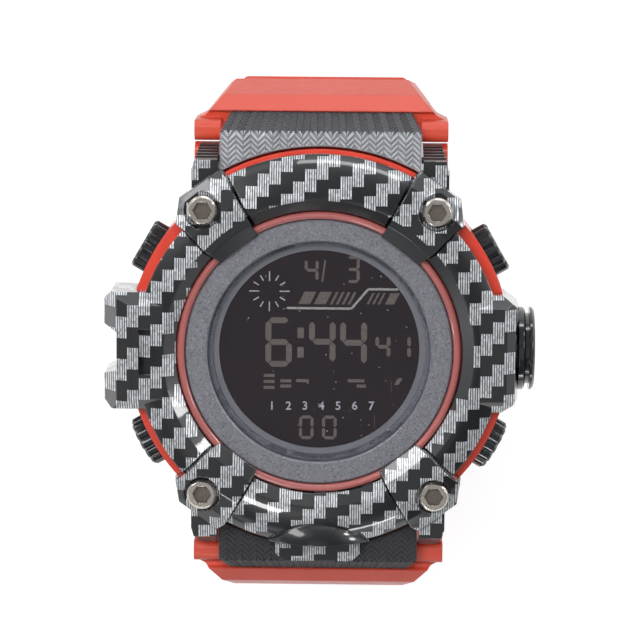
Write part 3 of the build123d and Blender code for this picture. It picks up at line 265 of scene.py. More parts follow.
def film_reach(tree, here):
    """Where the film is: one on it, nought on the bare plastic."""
    place = add(tree, "ShaderNodeSeparateXYZ", {0: here})
    level = add(tree, "ShaderNodeCombineXYZ", {0: place.outputs[0], 1: place.outputs[1]})
    reach = add(tree, "ShaderNodeVectorMath", {0: level}, operation="LENGTH")
    outer = add(tree, "ShaderNodeMath", {0: reach.outputs["Value"], 1: LIP_RADIUS},
                operation="GREATER_THAN")
    turned = add(tree, "ShaderNodeVectorMath", {0: level, 1: LIP_EDGE_FACES},
                 operation="DOT_PRODUCT")
    lower = add(tree, "ShaderNodeMath", {0: turned.outputs["Value"], 1: LIP_EDGE},
                operation="LESS_THAN")
    off_lip = add(tree, "ShaderNodeMath", {0: outer, 1: lower}, operation="MAXIMUM")
    end = add(tree, "ShaderNodeMath", {0: place.outputs[1]}, operation="ABSOLUTE")
    before_end = add(tree, "ShaderNodeMath", {0: end, 1: COVER_END}, operation="LESS_THAN")
    high = add(tree, "ShaderNodeMath", {0: place.outputs[2], 1: COVER_HEIGHT},
               operation="GREATER_THAN")
    side = add(tree, "ShaderNodeMath", {0: place.outputs[0]}, operation="ABSOLUTE")
    central = add(tree, "ShaderNodeMath", {0: side, 1: COVER_INNER}, operation="LESS_THAN")
    above = add(tree, "ShaderNodeMath", {0: before_end, 1: high}, operation="MAXIMUM")
    off_cover = add(tree, "ShaderNodeMath", {0: above, 1: central}, operation="MAXIMUM")
    wide, deep = SWELLING_AXES
    from_swelling = add(tree, "ShaderNodeVectorMath", {
        0: level, 1: (1 / wide, 1 / deep, 0), 2: (0, -SWELLING_PLACE / deep, 0)},
        operation="MULTIPLY_ADD")
    distance = add(tree, "ShaderNodeVectorMath", {0: from_swelling}, operation="LENGTH")
    outside = add(tree, "ShaderNodeMath", {0: distance.outputs["Value"], 1: 1.0},
                  operation="GREATER_THAN")
    below = add(tree, "ShaderNodeMath", {0: place.outputs[1], 1: SWELLING_PLACE},
                operation="LESS_THAN")
    off_swelling = add(tree, "ShaderNodeMath", {0: outside, 1: below}, operation="MAXIMUM")
    on_ring = add(tree, "ShaderNodeMath", {0: off_swelling, 1: off_lip}, operation="MULTIPLY")
    return add(tree, "ShaderNodeMath", {0: off_cover, 1: on_ring}, operation="MULTIPLY")


# Materials

def film_printed_abs(sizes, colours):
    # Moulded ABS wrapped in a printed weave film under clear lacquer: fine silver
    # threads in stepped blocks on near black, with hard, wet-looking reflections.
    material, tree, here = patterned("Film printed ABS")
    drawn = weave_ink(tree, *weave_place(tree, here), sizes)
    ink = add(tree, "ShaderNodeMath", {0: drawn, 1: film_reach(tree, here)}, operation="MULTIPLY")
    _, ground = clouded(tree, here, 0.11, 1.0, (*colours.film_dark, 1), opaque("#121316"))
    colour = add(tree, "ShaderNodeMix", {
        0: ink, 6: ground, 7: (*colours.film_light, 1)}, data_type="RGBA")
    shine = add(tree, "ShaderNodeMath", {0: ink, 1: 0.4}, operation="MULTIPLY")
    peel = grain(tree, here, 1.6, 0.006, edge=0.28)
    return finished(material, add(tree, "ShaderNodeBsdfPrincipled", {
        "Base Color": colour.outputs[2], "Metallic": shine, "Roughness": 0.4,
        "Coat Weight": 1.0, "Coat Roughness": 0.045, "Coat IOR": 1.5,
        "Normal": peel, "Coat Normal": peel}))


def moulded_resin(name, colour, roughness, coat):
    # Injection moulded urethane resin: an even dyed colour, a waxy sheen from the
    # mould, faint cloudiness and light rubbing marks from wear.
    material, tree, here = patterned(name)
    clouds = add(tree, "ShaderNodeTexNoise", {"Vector": here, "Scale": 0.16, "Detail": 3.0})
    bright = add(tree, "ShaderNodeMapRange", {0: clouds.outputs["Fac"], 3: 0.93, 4: 1.07})
    tone = add(tree, "ShaderNodeHueSaturation", {"Color": (*colour, 1), "Value": bright})
    stretched = add(tree, "ShaderNodeMapping", {"Vector": here, "Scale": (0.35, 2.4, 2.4)})
    rubs = add(tree, "ShaderNodeTexNoise", {"Vector": stretched, "Scale": 1.5, "Detail": 4.0})
    rubbed = add(tree, "ShaderNodeMapRange", {
        0: rubs.outputs["Fac"], 1: 0.42, 2: 0.68, 3: roughness, 4: roughness + 0.14})
    return finished(material, add(tree, "ShaderNodeBsdfPrincipled", {
        "Base Color": tone, "Roughness": rubbed, "IOR": 1.5,
        "Coat Weight": coat, "Coat Roughness": 0.22,
        "Subsurface Weight": 0.08, "Subsurface Scale": 0.6 * MM,
        "Subsurface Radius": (1.0, 0.35, 0.2), "Normal": grain(tree, here, 0.35, 0.004, 0.35)}))


def painted_trim():
    # Painted plastic trim ring: a dull brick red under thin lacquer, a little faded
    # round its length, with a long clean highlight.
    material, tree, here = patterned("Painted trim ring")
    _, tint = clouded(tree, here, 0.14, 2.0, opaque("#96504e"), opaque("#b0645e"))
    return finished(material, add(tree, "ShaderNodeBsdfPrincipled", {
        "Base Color": tint, "Roughness": 0.34, "IOR": 1.5,
        "Coat Weight": 0.8, "Coat Roughness": 0.08}))


# Height of the top of a strap insert, in millimetres, and of the rib tops, below which painted
# shade darkens the grooves between the ribs
INSERT_TOP = 66.6
RIB_TOP_UNSHADED = 66.84


def moulded_rubber(name, colour, facing_up_colour, roughness):
    # Moulded black rubber: a dull charcoal, with the fine pitting of a spark-eroded mould. Faces
    # that look up turn towards a second colour, partly a powdery bloom and partly painted light
    # from above; painted shade darkens the grooves between the ribs.
    material, tree, here = patterned(name)
    facing = add(tree, "ShaderNodeTexCoord")
    ways = add(tree, "ShaderNodeSeparateXYZ", {0: facing.outputs["Normal"]})
    # Painted light from above: the more a face looks up, the more it takes the second colour
    facing_up = add(tree, "ShaderNodeMapRange", {0: ways.outputs[2], 1: 0.45, 2: 0.95})
    patches = add(tree, "ShaderNodeTexNoise", {"Vector": here, "Scale": 0.5, "Detail": 3.0})
    uneven = add(tree, "ShaderNodeMapRange", {
        0: patches.outputs["Fac"], 1: 0.3, 2: 0.7, 3: 0.7, 4: 1.0})
    height = add(tree, "ShaderNodeSeparateXYZ", {0: here})
    # Painted shade: low down between the ribs a face keeps only about half of the second colour
    groove_shade = add(tree, "ShaderNodeMapRange", {
        0: height.outputs[2], 1: INSERT_TOP + 0.05, 2: RIB_TOP_UNSHADED, 3: 0.55, 4: 1.0})
    shaded_patches = add(tree, "ShaderNodeMath", {0: uneven, 1: groove_shade}, operation="MULTIPLY")
    # Mix of patchy bloom and painted light from above, less in the painted shade between the ribs
    bloom = add(tree, "ShaderNodeMath", {0: facing_up, 1: shaded_patches}, operation="MULTIPLY")
    shade = add(tree, "ShaderNodeMix", {
        0: bloom, 6: (*colour, 1), 7: (*facing_up_colour, 1)}, data_type="RGBA")
    return finished(material, add(tree, "ShaderNodeBsdfPrincipled", {
        "Base Color": shade.outputs[2], "Roughness": roughness, "IOR": 1.52,
        "Sheen Weight": 0.06, "Sheen Roughness": 0.45,
        "Normal": grain(tree, here, 0.14, 0.008)}))


def gloss_abs():
    # Polished black ABS: deep black with sharp reflections and a trace of handling.
    material, tree, here = patterned("Polished black ABS")
    smears, tint = clouded(tree, here, 0.45, 3.0, opaque("#17181b"), opaque("#202226"))
    handled = add(tree, "ShaderNodeMapRange", {0: smears, 1: 0.4, 2: 0.7, 3: 0.12, 4: 0.27})
    return finished(material, add(tree, "ShaderNodeBsdfPrincipled", {
        "Base Color": tint, "Roughness": handled, "IOR": 1.53,
        "Coat Weight": 0.5, "Coat Roughness": 0.06,
        "Normal": grain(tree, here, 1.4, 0.004, edge=0.2)}))


def speckled_ring():
    # Painted ring with a fine metallic fleck: mid grey, matt, dotted with pale and
    # dark grains 0.16 mm apart that show as a soft sparkle.
    material, tree, here = patterned("Fleck painted ring")
    cells = add(tree, "ShaderNodeTexVoronoi", {"Vector": here, "Scale": 1 / 0.16})
    fleck = add(tree, "ShaderNodeSeparateColor", {0: cells.outputs["Color"]})
    _, base = clouded(tree, here, 0.8, 4.0, opaque("#66666c"), opaque("#7c7c83"))
    pale = add(tree, "ShaderNodeMapRange", {0: fleck.outputs[0], 1: 0.72, 2: 1.0, 3: 0.0, 4: 0.75})
    lit = add(tree, "ShaderNodeMix", {0: pale, 6: base, 7: opaque("#8d8d96")}, data_type="RGBA")
    dark = add(tree, "ShaderNodeMapRange", {0: fleck.outputs[1], 1: 0.8, 2: 1.0, 3: 0.0, 4: 0.6})
    colour = add(tree, "ShaderNodeMix", {
        0: dark, 6: lit.outputs[2], 7: opaque("#26262b")}, data_type="RGBA")
    return finished(material, add(tree, "ShaderNodeBsdfPrincipled", {
        "Base Color": colour.outputs[2], "Roughness": 0.48, "Metallic": 0.15,
        "Coat Weight": 0.25, "Coat Roughness": 0.3, "Normal": grain(tree, here, 0.12, 0.012)}))


def mineral_glass():
    # Flat mineral glass: nearly clear, a soft reflection of the room, dust specks
    # about 1 mm apart and a few hairline scratches that catch the light.
    material, tree, here = patterned("Mineral glass")
    clear = add(tree, "ShaderNodeBsdfTransparent", {"Color": opaque("#f4f5f7")})
    gloss = add(tree, "ShaderNodeBsdfGlossy", {"Roughness": 0.03})
    slant = add(tree, "ShaderNodeLayerWeight", {"Blend": 0.5})
    rise = add(tree, "ShaderNodeMath", {0: slant.outputs["Facing"], 1: 5.0}, operation="POWER")
    edge = add(tree, "ShaderNodeMapRange", {0: rise, 3: 0.025, 4: 1.0})
    glass = add(tree, "ShaderNodeMixShader", {0: edge, 1: clear, 2: gloss})
    cells = add(tree, "ShaderNodeTexVoronoi", {"Vector": here, "Scale": 1 / 1.15})
    near = add(tree, "ShaderNodeMapRange", {
        0: cells.outputs["Distance"], 1: 0.055, 2: 0.1, 3: 1.0, 4: 0.0})
    chance = add(tree, "ShaderNodeSeparateColor", {0: cells.outputs["Color"]})
    some = add(tree, "ShaderNodeMapRange", {
        0: chance.outputs[0], 1: 0.45, 2: 1.0, 3: 0.0, 4: 0.55})
    dust = add(tree, "ShaderNodeMath", {0: near, 1: some}, operation="MULTIPLY")
    stretched = add(tree, "ShaderNodeMapping", {
        "Vector": here, "Rotation": (0, 0, radians(28)), "Scale": (3.1, 0.075, 1.0)})
    lines = add(tree, "ShaderNodeTexVoronoi", {"Vector": stretched, "Scale": 0.55})
    thin = add(tree, "ShaderNodeMapRange", {
        0: lines.outputs["Distance"], 1: 0.02, 2: 0.05, 3: 0.22, 4: 0.0})
    seen = add(tree, "ShaderNodeMath", {0: dust, 1: thin}, operation="MAXIMUM")
    speck = add(tree, "ShaderNodeBsdfDiffuse", {"Color": opaque("#c9c5c4")})
    return finished(material, add(tree, "ShaderNodeMixShader", {0: seen, 1: glass, 2: speck}))


def display_glass(colours):
    # Liquid crystal cell under a polariser: a warm near-black field with a faint
    # plum cast, slightly cloudy, smooth and glassy.
    material, tree, here = patterned("Display cell")
    _, tint = clouded(tree, here, 0.09, 1.0, (*colours.display, 1), opaque("#302428"))
    return finished(material, add(tree, "ShaderNodeBsdfPrincipled", {
        "Base Color": tint, "Roughness": 0.3, "IOR": 1.5, "Specular IOR Level": 0.15}))


def printed_ink(name, colour, worn):
    # Screen printed ink: a flat tone, thin enough to look slightly uneven.
    material, tree, here = patterned(name)
    thin = add(tree, "ShaderNodeTexNoise", {"Vector": here, "Scale": 3.2, "Detail": 2.0})
    fade = add(tree, "ShaderNodeMapRange", {0: thin.outputs["Fac"], 1: 0.3, 2: 0.7, 3: 0, 4: 1})
    mixed = add(tree, "ShaderNodeMix", {0: fade, 6: (*colour, 1), 7: (*worn, 1)}, data_type="RGBA")
    return finished(material, add(tree, "ShaderNodeBsdfPrincipled", {
        "Base Color": mixed.outputs[2], "Roughness": 0.6, "IOR": 1.45}))


def matt_print():
    # Screen printed border behind the glass: mid grey and matt, with a faint bloom.
    material, tree, here = patterned("Screen printed border")
    _, tint = clouded(tree, here, 0.3, 2.0, opaque("#79787b"), opaque("#868588"))
    return finished(material, add(tree, "ShaderNodeBsdfPrincipled", {
        "Base Color": tint, "Roughness": 0.55, "IOR": 1.45}))


def turned_steel(name, colour, dark, rough, streak):
    # Stainless steel left from the lathe or press: warm grey metal whose fine
    # tool lines spread each highlight, with a duller tone in patches.
    material, tree, here = patterned(name)
    stretched = add(tree, "ShaderNodeMapping", {"Vector": here, "Scale": streak})
    lines = add(tree, "ShaderNodeTexNoise", {"Vector": stretched, "Scale": 3.0, "Detail": 4.0})
    worn, tint = clouded(tree, here, 1.1, 3.0, opaque(colour), opaque(dark))
    spread = add(tree, "ShaderNodeMapRange", {
        0: worn, 1: 0.35, 2: 0.7, 3: rough - 0.06, 4: rough + 0.1})
    cut = add(tree, "ShaderNodeBump", {
        "Strength": 1.0, "Distance": 0.006 * MM, "Height": lines.outputs["Fac"]})
    return finished(material, add(tree, "ShaderNodeBsdfPrincipled", {
        "Base Color": tint, "Metallic": 1.0, "Roughness": spread,
        "Normal": cut}))


def screw_steel():
    # Stainless socket screws: bright warm metal, scuffed on the head. Painted shade darkens and
    # dulls the metal down in the hexagon and below the bevel of the head.
    material, tree, here = patterned("Socket screw steel")
    place = add(tree, "ShaderNodeSeparateXYZ", {0: here})
    scuffs, steel = clouded(tree, here, 1.3, 4.0, opaque("#f3ece3"), opaque("#b3a89d"))
    # Painted shade: below the head's bevel the colour turns dark brownish grey
    low = add(tree, "ShaderNodeMapRange", {0: place.outputs[2], 1: 71.1, 2: 71.66, 3: 1.0, 4: 0.0})
    tint = add(tree, "ShaderNodeMix", {0: low, 6: steel, 7: opaque("#6e6660")}, data_type="RGBA")
    # Painted shade: down there the metal is also made half as metallic
    clean = add(tree, "ShaderNodeMapRange", {0: low, 3: 1.0, 4: 0.5})
    spread = add(tree, "ShaderNodeMapRange", {0: scuffs, 1: 0.35, 2: 0.7, 3: 0.2, 4: 0.36})
    return finished(material, add(tree, "ShaderNodeBsdfPrincipled", {
        "Base Color": tint.outputs[2], "Metallic": clean,
        "Roughness": spread, "Normal": grain(tree, here, 0.5, 0.006, edge=0.14)}))


def rolled_brass():
    # Rolled spring brass: yellow metal with a soft uneven grain and a slight tarnish.
    material, tree, here = patterned("Rolled brass")
    _, tint = clouded(tree, here, 0.7, 4.0, opaque("#d9b65c"), opaque("#a8863e"))
    return finished(material, add(tree, "ShaderNodeBsdfPrincipled", {
        "Base Color": tint, "Metallic": 1.0, "Roughness": 0.3,
        "Normal": grain(tree, here, 0.4, 0.004)}))


def moulded_acetal():
    # Natural acetal: milky white, slightly waxy, with a barely visible flow mark.
    material, tree, here = patterned("Moulded acetal")
    _, tint = clouded(tree, here, 0.25, 2.0, opaque("#dddcd5"), opaque("#ebeae4"))
    return finished(material, add(tree, "ShaderNodeBsdfPrincipled", {
        "Base Color": tint, "Roughness": 0.45, "IOR": 1.48,
        "Subsurface Weight": 0.2, "Subsurface Scale": 0.5 * MM}))


def circuit_laminate():
    # Glass epoxy laminate under green solder resist, with copper tracks showing as
    # paler green lines 0.3 mm wide.
    material, tree, here = patterned("Green circuit laminate")
    tracks = add(tree, "ShaderNodeTexVoronoi", {"Vector": here, "Scale": 0.45},
                 distance="MANHATTAN", feature="DISTANCE_TO_EDGE")
    line = add(tree, "ShaderNodeMapRange", {
        0: tracks.outputs["Distance"], 1: 0.04, 2: 0.09, 3: 1.0, 4: 0.0})
    tint = add(tree, "ShaderNodeMix", {
        0: line, 6: opaque("#1e5a38"), 7: opaque("#3c8a5a")}, data_type="RGBA")
    return finished(material, add(tree, "ShaderNodeBsdfPrincipled", {
        "Base Color": tint.outputs[2], "Roughness": 0.3, "IOR": 1.5}))


def layered_silicone():
    # Contact strip of layered silicone: thin dark carbon layers, 0.18 mm thick,
    # between pale insulating ones.
    material, tree, here = patterned("Layered contact silicone")
    place = add(tree, "ShaderNodeSeparateXYZ", {0: here})
    layers = add(tree, "ShaderNodeMath", {0: place.outputs[0], 1: 1 / 0.36}, operation="MULTIPLY")
    layer = add(tree, "ShaderNodeMath", {0: layers}, operation="FRACT")
    carbon = add(tree, "ShaderNodeMath", {0: layer, 1: 0.5}, operation="LESS_THAN")
    tint = add(tree, "ShaderNodeMix", {
        0: carbon, 6: opaque("#d8a79c"), 7: opaque("#232324")}, data_type="RGBA")
    return finished(material, add(tree, "ShaderNodeBsdfPrincipled", {
        "Base Color": tint.outputs[2], "Roughness": 0.55, "IOR": 1.41}))


def sounder_faces():
    # Brass sounder disc with a fired ceramic centre of 7 mm radius, silvered cream.
    material, tree, here = patterned("Sounder disc")
    flat = add(tree, "ShaderNodeVectorMath", {0: here, 1: (1, 1, 0)}, operation="MULTIPLY")
    reach = add(tree, "ShaderNodeVectorMath", {0: flat}, operation="LENGTH")
    centre = add(tree, "ShaderNodeMath", {0: reach.outputs["Value"], 1: 7.05},
                 operation="LESS_THAN")
    brass = add(tree, "ShaderNodeBsdfPrincipled", {
        "Base Color": opaque("#cfae5e"), "Metallic": 1.0, "Roughness": 0.32})
    fired = add(tree, "ShaderNodeBsdfPrincipled", {
        "Base Color": opaque("#d9d3c2"), "Roughness": 0.5})
    return finished(material, add(tree, "ShaderNodeMixShader", {0: centre, 1: brass, 2: fired}))


def studio_paper():
    # Seamless white paper: no texture to be seen, just pale and even.
    material, tree = blank("White paper")
    paper = add(tree, "ShaderNodeBsdfDiffuse", {"Color": opaque("#9a9a9a")})
    glow = add(tree, "ShaderNodeEmission", {"Color": opaque("#ffffff"), "Strength": 0.86})
    return finished(material, add(tree, "ShaderNodeAddShader", {0: paper, 1: glow}))


# Making and placing pieces

def dress(names, material):
    """Give parts of the frame one material."""
    for name in names:
        data = frame["nodes"][name].data
        data.materials.clear()
        data.materials.append(material)


def every(prefix):
    """The parts of the frame whose names start alike."""
    return [name for name in frame["nodes"] if name.startswith(prefix)]


def piece(name, shape, material, body):
    """Turn a finished bmesh into a piece that rides on a body."""
    bmesh.ops.remove_doubles(shape, verts=shape.verts, dist=1e-7)
    bmesh.ops.recalc_face_normals(shape, faces=shape.faces)
    data = bpy.data.meshes.new(name)
    shape.to_mesh(data)
    shape.free()
    data.materials.append(material)
    made = bpy.data.objects.new(name, data)
    bpy.context.scene.collection.objects.link(made)
    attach(made, body)
    return made


def bar(shape, centre, length, width, height, pointed):
    """A flat closed bar along X, with pointed or square ends, and its vertices."""
    made = bmesh.ops.create_circle(
        shape, cap_ends=True, segments=6 if pointed else 4, radius=1.0)["verts"]
    bmesh.ops.rotate(
        shape, verts=made, matrix=Matrix.Rotation(pi / 2 if pointed else pi / 4, 3, "Z"))
    for v in made:
        end, side = (1 if v.co.x > 0 else -1), (1 if v.co.y > 0 else -1)
        tip = pointed and abs(v.co.x) > 0.9
        inset = width / 2 if pointed and not tip else 0
        v.co.x = end * (length / 2 - inset)
        v.co.y = 0 if tip else side * width / 2
    raised = bmesh.ops.extrude_face_region(shape, geom=[made[0].link_faces[0]])["geom"]
    top = [v for v in raised if isinstance(v, bmesh.types.BMVert)]
    bmesh.ops.translate(shape, verts=top, vec=(0, 0, height))
    whole = made + top
    bmesh.ops.translate(shape, verts=whole, vec=centre)
    return whole


# Herringbone ribs on the strap inserts. An insert's flat top ends at one distance from
# the middle, and its slope runs on down to the foot, where it keeps a share of its width.
# The ribs start at the case's round shelf.

PLATEAU = INSERT_TOP * MM
PLATEAU_END = 28.5 * MM
FOOT_HEIGHT = 61.4 * MM
FOOT_REACH = 30.7 * MM
FOOT_SHARE = 12.0 / 13.2
SHELF_ROOM = 26.95 * MM
SLOPE_RUN = FOOT_REACH - PLATEAU_END
SLOPE_DROP = PLATEAU - FOOT_HEIGHT
SLOPE_LENGTH = hypot(SLOPE_RUN, SLOPE_DROP)
RIB_COLUMNS = 27
RIB_ROOT = 0.03 * MM
RIB_END_GAP = 0.15 * MM
# Shares: a rib's width of its column, its foot of the pitch, and its crest of its foot
RIB_WIDE = 0.92
RIB_FOOT = 0.62
RIB_CREST = 0.72


def fold_over(point):
    """Carry a point of the flat rib sheet onto the top and slope of the insert."""
    past = point.y - PLATEAU_END
    if past <= 0:
        return Vector((point.x, point.y, PLATEAU + point.z))
    share = past / SLOPE_LENGTH
    x = point.x * (1 - share * (1 - FOOT_SHARE))
    y = PLATEAU_END + share * SLOPE_RUN + point.z * SLOPE_DROP / SLOPE_LENGTH
    z = PLATEAU - share * SLOPE_DROP + point.z * SLOPE_RUN / SLOPE_LENGTH
    return Vector((x, y, z))


def rib_column(sizes, number):
    """One column of short slanted ribs, cut off at the shelf and at the foot."""
    width, pitch = sizes.rib_column, sizes.rib_pitch
    middle = (number - (RIB_COLUMNS - 1) / 2) * width
    odd = number % 2
    lean = 1 if odd else -1
    near = sqrt(SHELF_ROOM ** 2 - middle ** 2)
    far = PLATEAU_END + SLOPE_LENGTH - RIB_END_GAP
    column = bmesh.new()
    for k in range(int((far - near) / pitch) + 4):
        place = near + (k - 1.5 + 0.5 * odd) * pitch
        for v in bmesh.ops.create_cube(column, size=1.0)["verts"]:
            narrow = RIB_CREST if v.co.z > 0 else 1.0
            x = v.co.x * width * RIB_WIDE
            y = v.co.y * pitch * RIB_FOOT * narrow + lean * x
            z = (v.co.z + 0.5) * (sizes.rib_height + RIB_ROOT) - RIB_ROOT
            v.co = Vector((middle + x, place + y, z))
    inward = -Vector((middle, near, 0)).normalized()
    for height, outward in ((near, inward), (far, Vector((0, 1, 0)))):
        cut = bmesh.ops.bisect_plane(
            column, geom=column.verts[:] + column.edges[:] + column.faces[:], dist=1e-8,
            plane_co=(middle, height, 0), plane_no=outward, clear_outer=True)
        rims = [e for e in cut["geom_cut"] if isinstance(e, bmesh.types.BMEdge)]
        bmesh.ops.holes_fill(column, edges=rims, sides=0)
    bmesh.ops.bisect_plane(
        column, geom=column.verts[:] + column.edges[:] + column.faces[:], dist=1e-8,
        plane_co=(0, PLATEAU_END, 0), plane_no=(0, 1, 0))
    return column


def rib_sheet(sizes):
    """All ribs of one insert, in columns of which every second one is turned."""
    shape = bmesh.new()
    for number in range(RIB_COLUMNS):
        column = rib_column(sizes, number)
        part = bpy.data.meshes.new("column")
        column.to_mesh(part)
        column.free()
        shape.from_mesh(part)
        bpy.data.meshes.remove(part)
    for v in shape.verts:
        v.co = fold_over(v.co)
    return shape


class WATCH_OT_insert_ribs(bpy.types.Operator):
    """Add the raised herringbone ribs to both strap inserts"""
    bl_idname = "watch.insert_ribs"
    bl_label = "Insert ribs"

    def execute(self, context):
        sizes = context.scene.watch_sizes
        colours = context.scene.watch_colours
        # One rubber in two copies: the upper insert painted paler on top, bloom and painted light,
        # the lower one painted darker, painted shadow under the bezel
        for end, name, dust, roughness in (
                (1, "Rubber with bloom and painted light", colours.bloom_and_light_12, 0.62),
                (-1, "Rubber in painted shade", colours.painted_shade_6, 0.6)):
            hour = 12 if end > 0 else 6
            rubber = moulded_rubber(name, colours.insert, dust, roughness)
            dress([f"strap_insert_{hour}"], rubber)
            ribs = rib_sheet(sizes)
            bmesh.ops.scale(ribs, verts=ribs.verts, vec=(1, end, 1))
            piece(f"insert_ribs_{hour}", ribs, rubber, f"strap_{hour}")
        return {"FINISHED"}


# Display segments and printed marks

MARK_FLOOR = 67.103 * MM
MARK_HEIGHT = 0.02 * MM
SEGMENTS = {"0": "abcdef", "1": "bc", "3": "abgcd", "4": "fgbc", "6": "afgecd"}
# A segment falls short of the next by this share of its width
SEGMENT_GAP = 0.16
# Large figures: figure, left, bottom, width and height in millimetres
LARGE_FIGURES = (
    ("6", -7.1, -2.4, 3.5, 6.6), ("4", -1.35, -2.1, 3.5, 6.2), ("4", 2.75, -2.3, 3.55, 6.4))
# Small figures: the same with the width of a segment
SMALL_FIGURES = (
    ("4", 7.4, -1.25, 2.0, 3.3, 0.5), ("1", 10.2, -1.25, 1.9, 3.3, 0.5),
    ("4", -2.0, 8.95, 1.85, 3.1, 0.42), ("3", 3.5, 8.85, 1.75, 3.6, 0.42),
    ("0", -2.6, -12.1, 1.95, 3.2, 0.42), ("0", 0.45, -12.1, 1.95, 3.2, 0.42))
# Blocks: left, bottom, width and height in millimetres, and lean. In turn the colon, the
# slash, the leaning blocks and bars of the upper scale, and the short dashes below.
BLOCKS = (
    (-2.875, 1.45, 0.85, 1.4, 0), (-2.875, -1.15, 0.85, 1.4, 0),
    (0.2, 8.95, 0.22, 2.9, 0.14),
    (-2.8, 6.0, 1.55, 1.65, 0.5), (-0.75, 6.0, 1.55, 1.65, 0.5),
    *((1.35 + 0.78 * k, 6.0, 0.34, 1.65, 0.5) for k in range(4)),
    *((6.2 + 0.72 * k, 6.05, 0.3, 1.5, 0.5) for k in range(3)),
    (8.6, 6.05, 1.2, 1.5, 0.5),
    *((x, y, width, 0.42, 0) for x, y, width in (
        (-7.3, -3.8, 1.45), (-7.3, -4.6, 1.45), (-7.3, -5.4, 1.45),
        (-5.1, -4.5, 1.45), (-5.1, -5.2, 1.45), (-3.0, -4.45, 1.65),
        (3.8, -4.4, 2.2), (5.0, -5.1, 1.2))),
    (9.9, -4.7, 0.6, 0.9, 0.6))


def digit(shape, figure, x, y, width, height, stroke):
    """One seven-segment figure, its lower left corner at x and y."""
    wide, high = width - stroke, height - stroke
    lying = {"a": (0.5, 1), "g": (0.5, 0.5), "d": (0.5, 0)}
    upright = {"f": (0, 0.75), "b": (1, 0.75), "e": (0, 0.25), "c": (1, 0.25)}
    for name in SEGMENTS[figure]:
        long = wide if name in lying else high / 2
        whole = bar(shape, (0, 0, 0), long - SEGMENT_GAP * stroke, stroke, MARK_HEIGHT, True)
        if name in upright:
            bmesh.ops.rotate(shape, verts=whole, matrix=Matrix.Rotation(pi / 2, 3, "Z"))
        side, up = (lying | upright)[name]
        bmesh.ops.translate(shape, verts=whole, vec=(
            x + stroke / 2 + wide * side, y + stroke / 2 + high * up, MARK_FLOOR))


def leaning(shape, x, y, width, height, lean):
    """A leaning block with its lower left corner at x and y."""
    whole = bar(shape, (x + width / 2, y + height / 2, MARK_FLOOR), width, height,
                MARK_HEIGHT, False)
    for v in whole:
        v.co.x += (v.co.y - y) * lean


def written(text, x, y, size, bolder):
    """A figure as a closed mesh, centred on x and y."""
    curve = bpy.data.curves.new("figure", "FONT")
    curve.body = text
    curve.size = size
    curve.align_x = "CENTER"
    curve.align_y = "CENTER"
    curve.extrude = MARK_HEIGHT / 2
    curve.offset = bolder
    holder = bpy.data.objects.new("figure", curve)
    flat = bpy.data.meshes.new_from_object(holder)
    bpy.data.objects.remove(holder)
    bpy.data.curves.remove(curve)
    flat.transform(Matrix.Translation((x, y, MARK_FLOOR + MARK_HEIGHT / 2)))
    return flat


class WATCH_OT_display(bpy.types.Operator):
    """Add the segments of the display"""
    bl_idname = "watch.display"
    bl_label = "Display segments"

    def execute(self, context):
        colours = context.scene.watch_colours
        dress(["lcd_panel"], display_glass(colours))
        dress(["dial_mask"], matt_print())
        shape = bmesh.new()
        stroke = context.scene.watch_sizes.segment_width
        for figure, *sizes in LARGE_FIGURES:
            digit(shape, figure, *(size * MM for size in sizes), stroke)
        for figure, *sizes in SMALL_FIGURES:
            digit(shape, figure, *(size * MM for size in sizes))
        for *sizes, lean in BLOCKS:
            leaning(shape, *(size * MM for size in sizes), lean)
        ink = printed_ink("Lit segments", colours.segments, [c * 0.72 for c in colours.segments])
        piece("display_segments", shape, ink, "head")
        return {"FINISHED"}


# Printed marks in millimetres: the first number, the step to the next and its size, the
# rule's width, corners and lap at each corner, as a share of its width, and the ring of
# ticks with its middle, the radius to a tick's middle, and a tick's width and lengths
NUMBERS = 7
NUMBER_START = (-6.2, -7.7)
NUMBER_STEP = (2.19, 0.023)
NUMBER_SIZE = 1.55
NUMBER_BOLDER = 0.022
RULE_THICK = 0.3
RULE_LAP = 0.6
RULE_CORNERS = ((-4.3, 5.45), (4.2, 5.45), (6.4, 8.05), (10.3, 8.05))
TICKS = 12
TICKS_MIDDLE = (-6.6, 7.67)
TICKS_RADIUS = 2.0
TICK_WIDTH = 0.16
SHORT_TICK = 0.8
LONG_TICK = 1.3


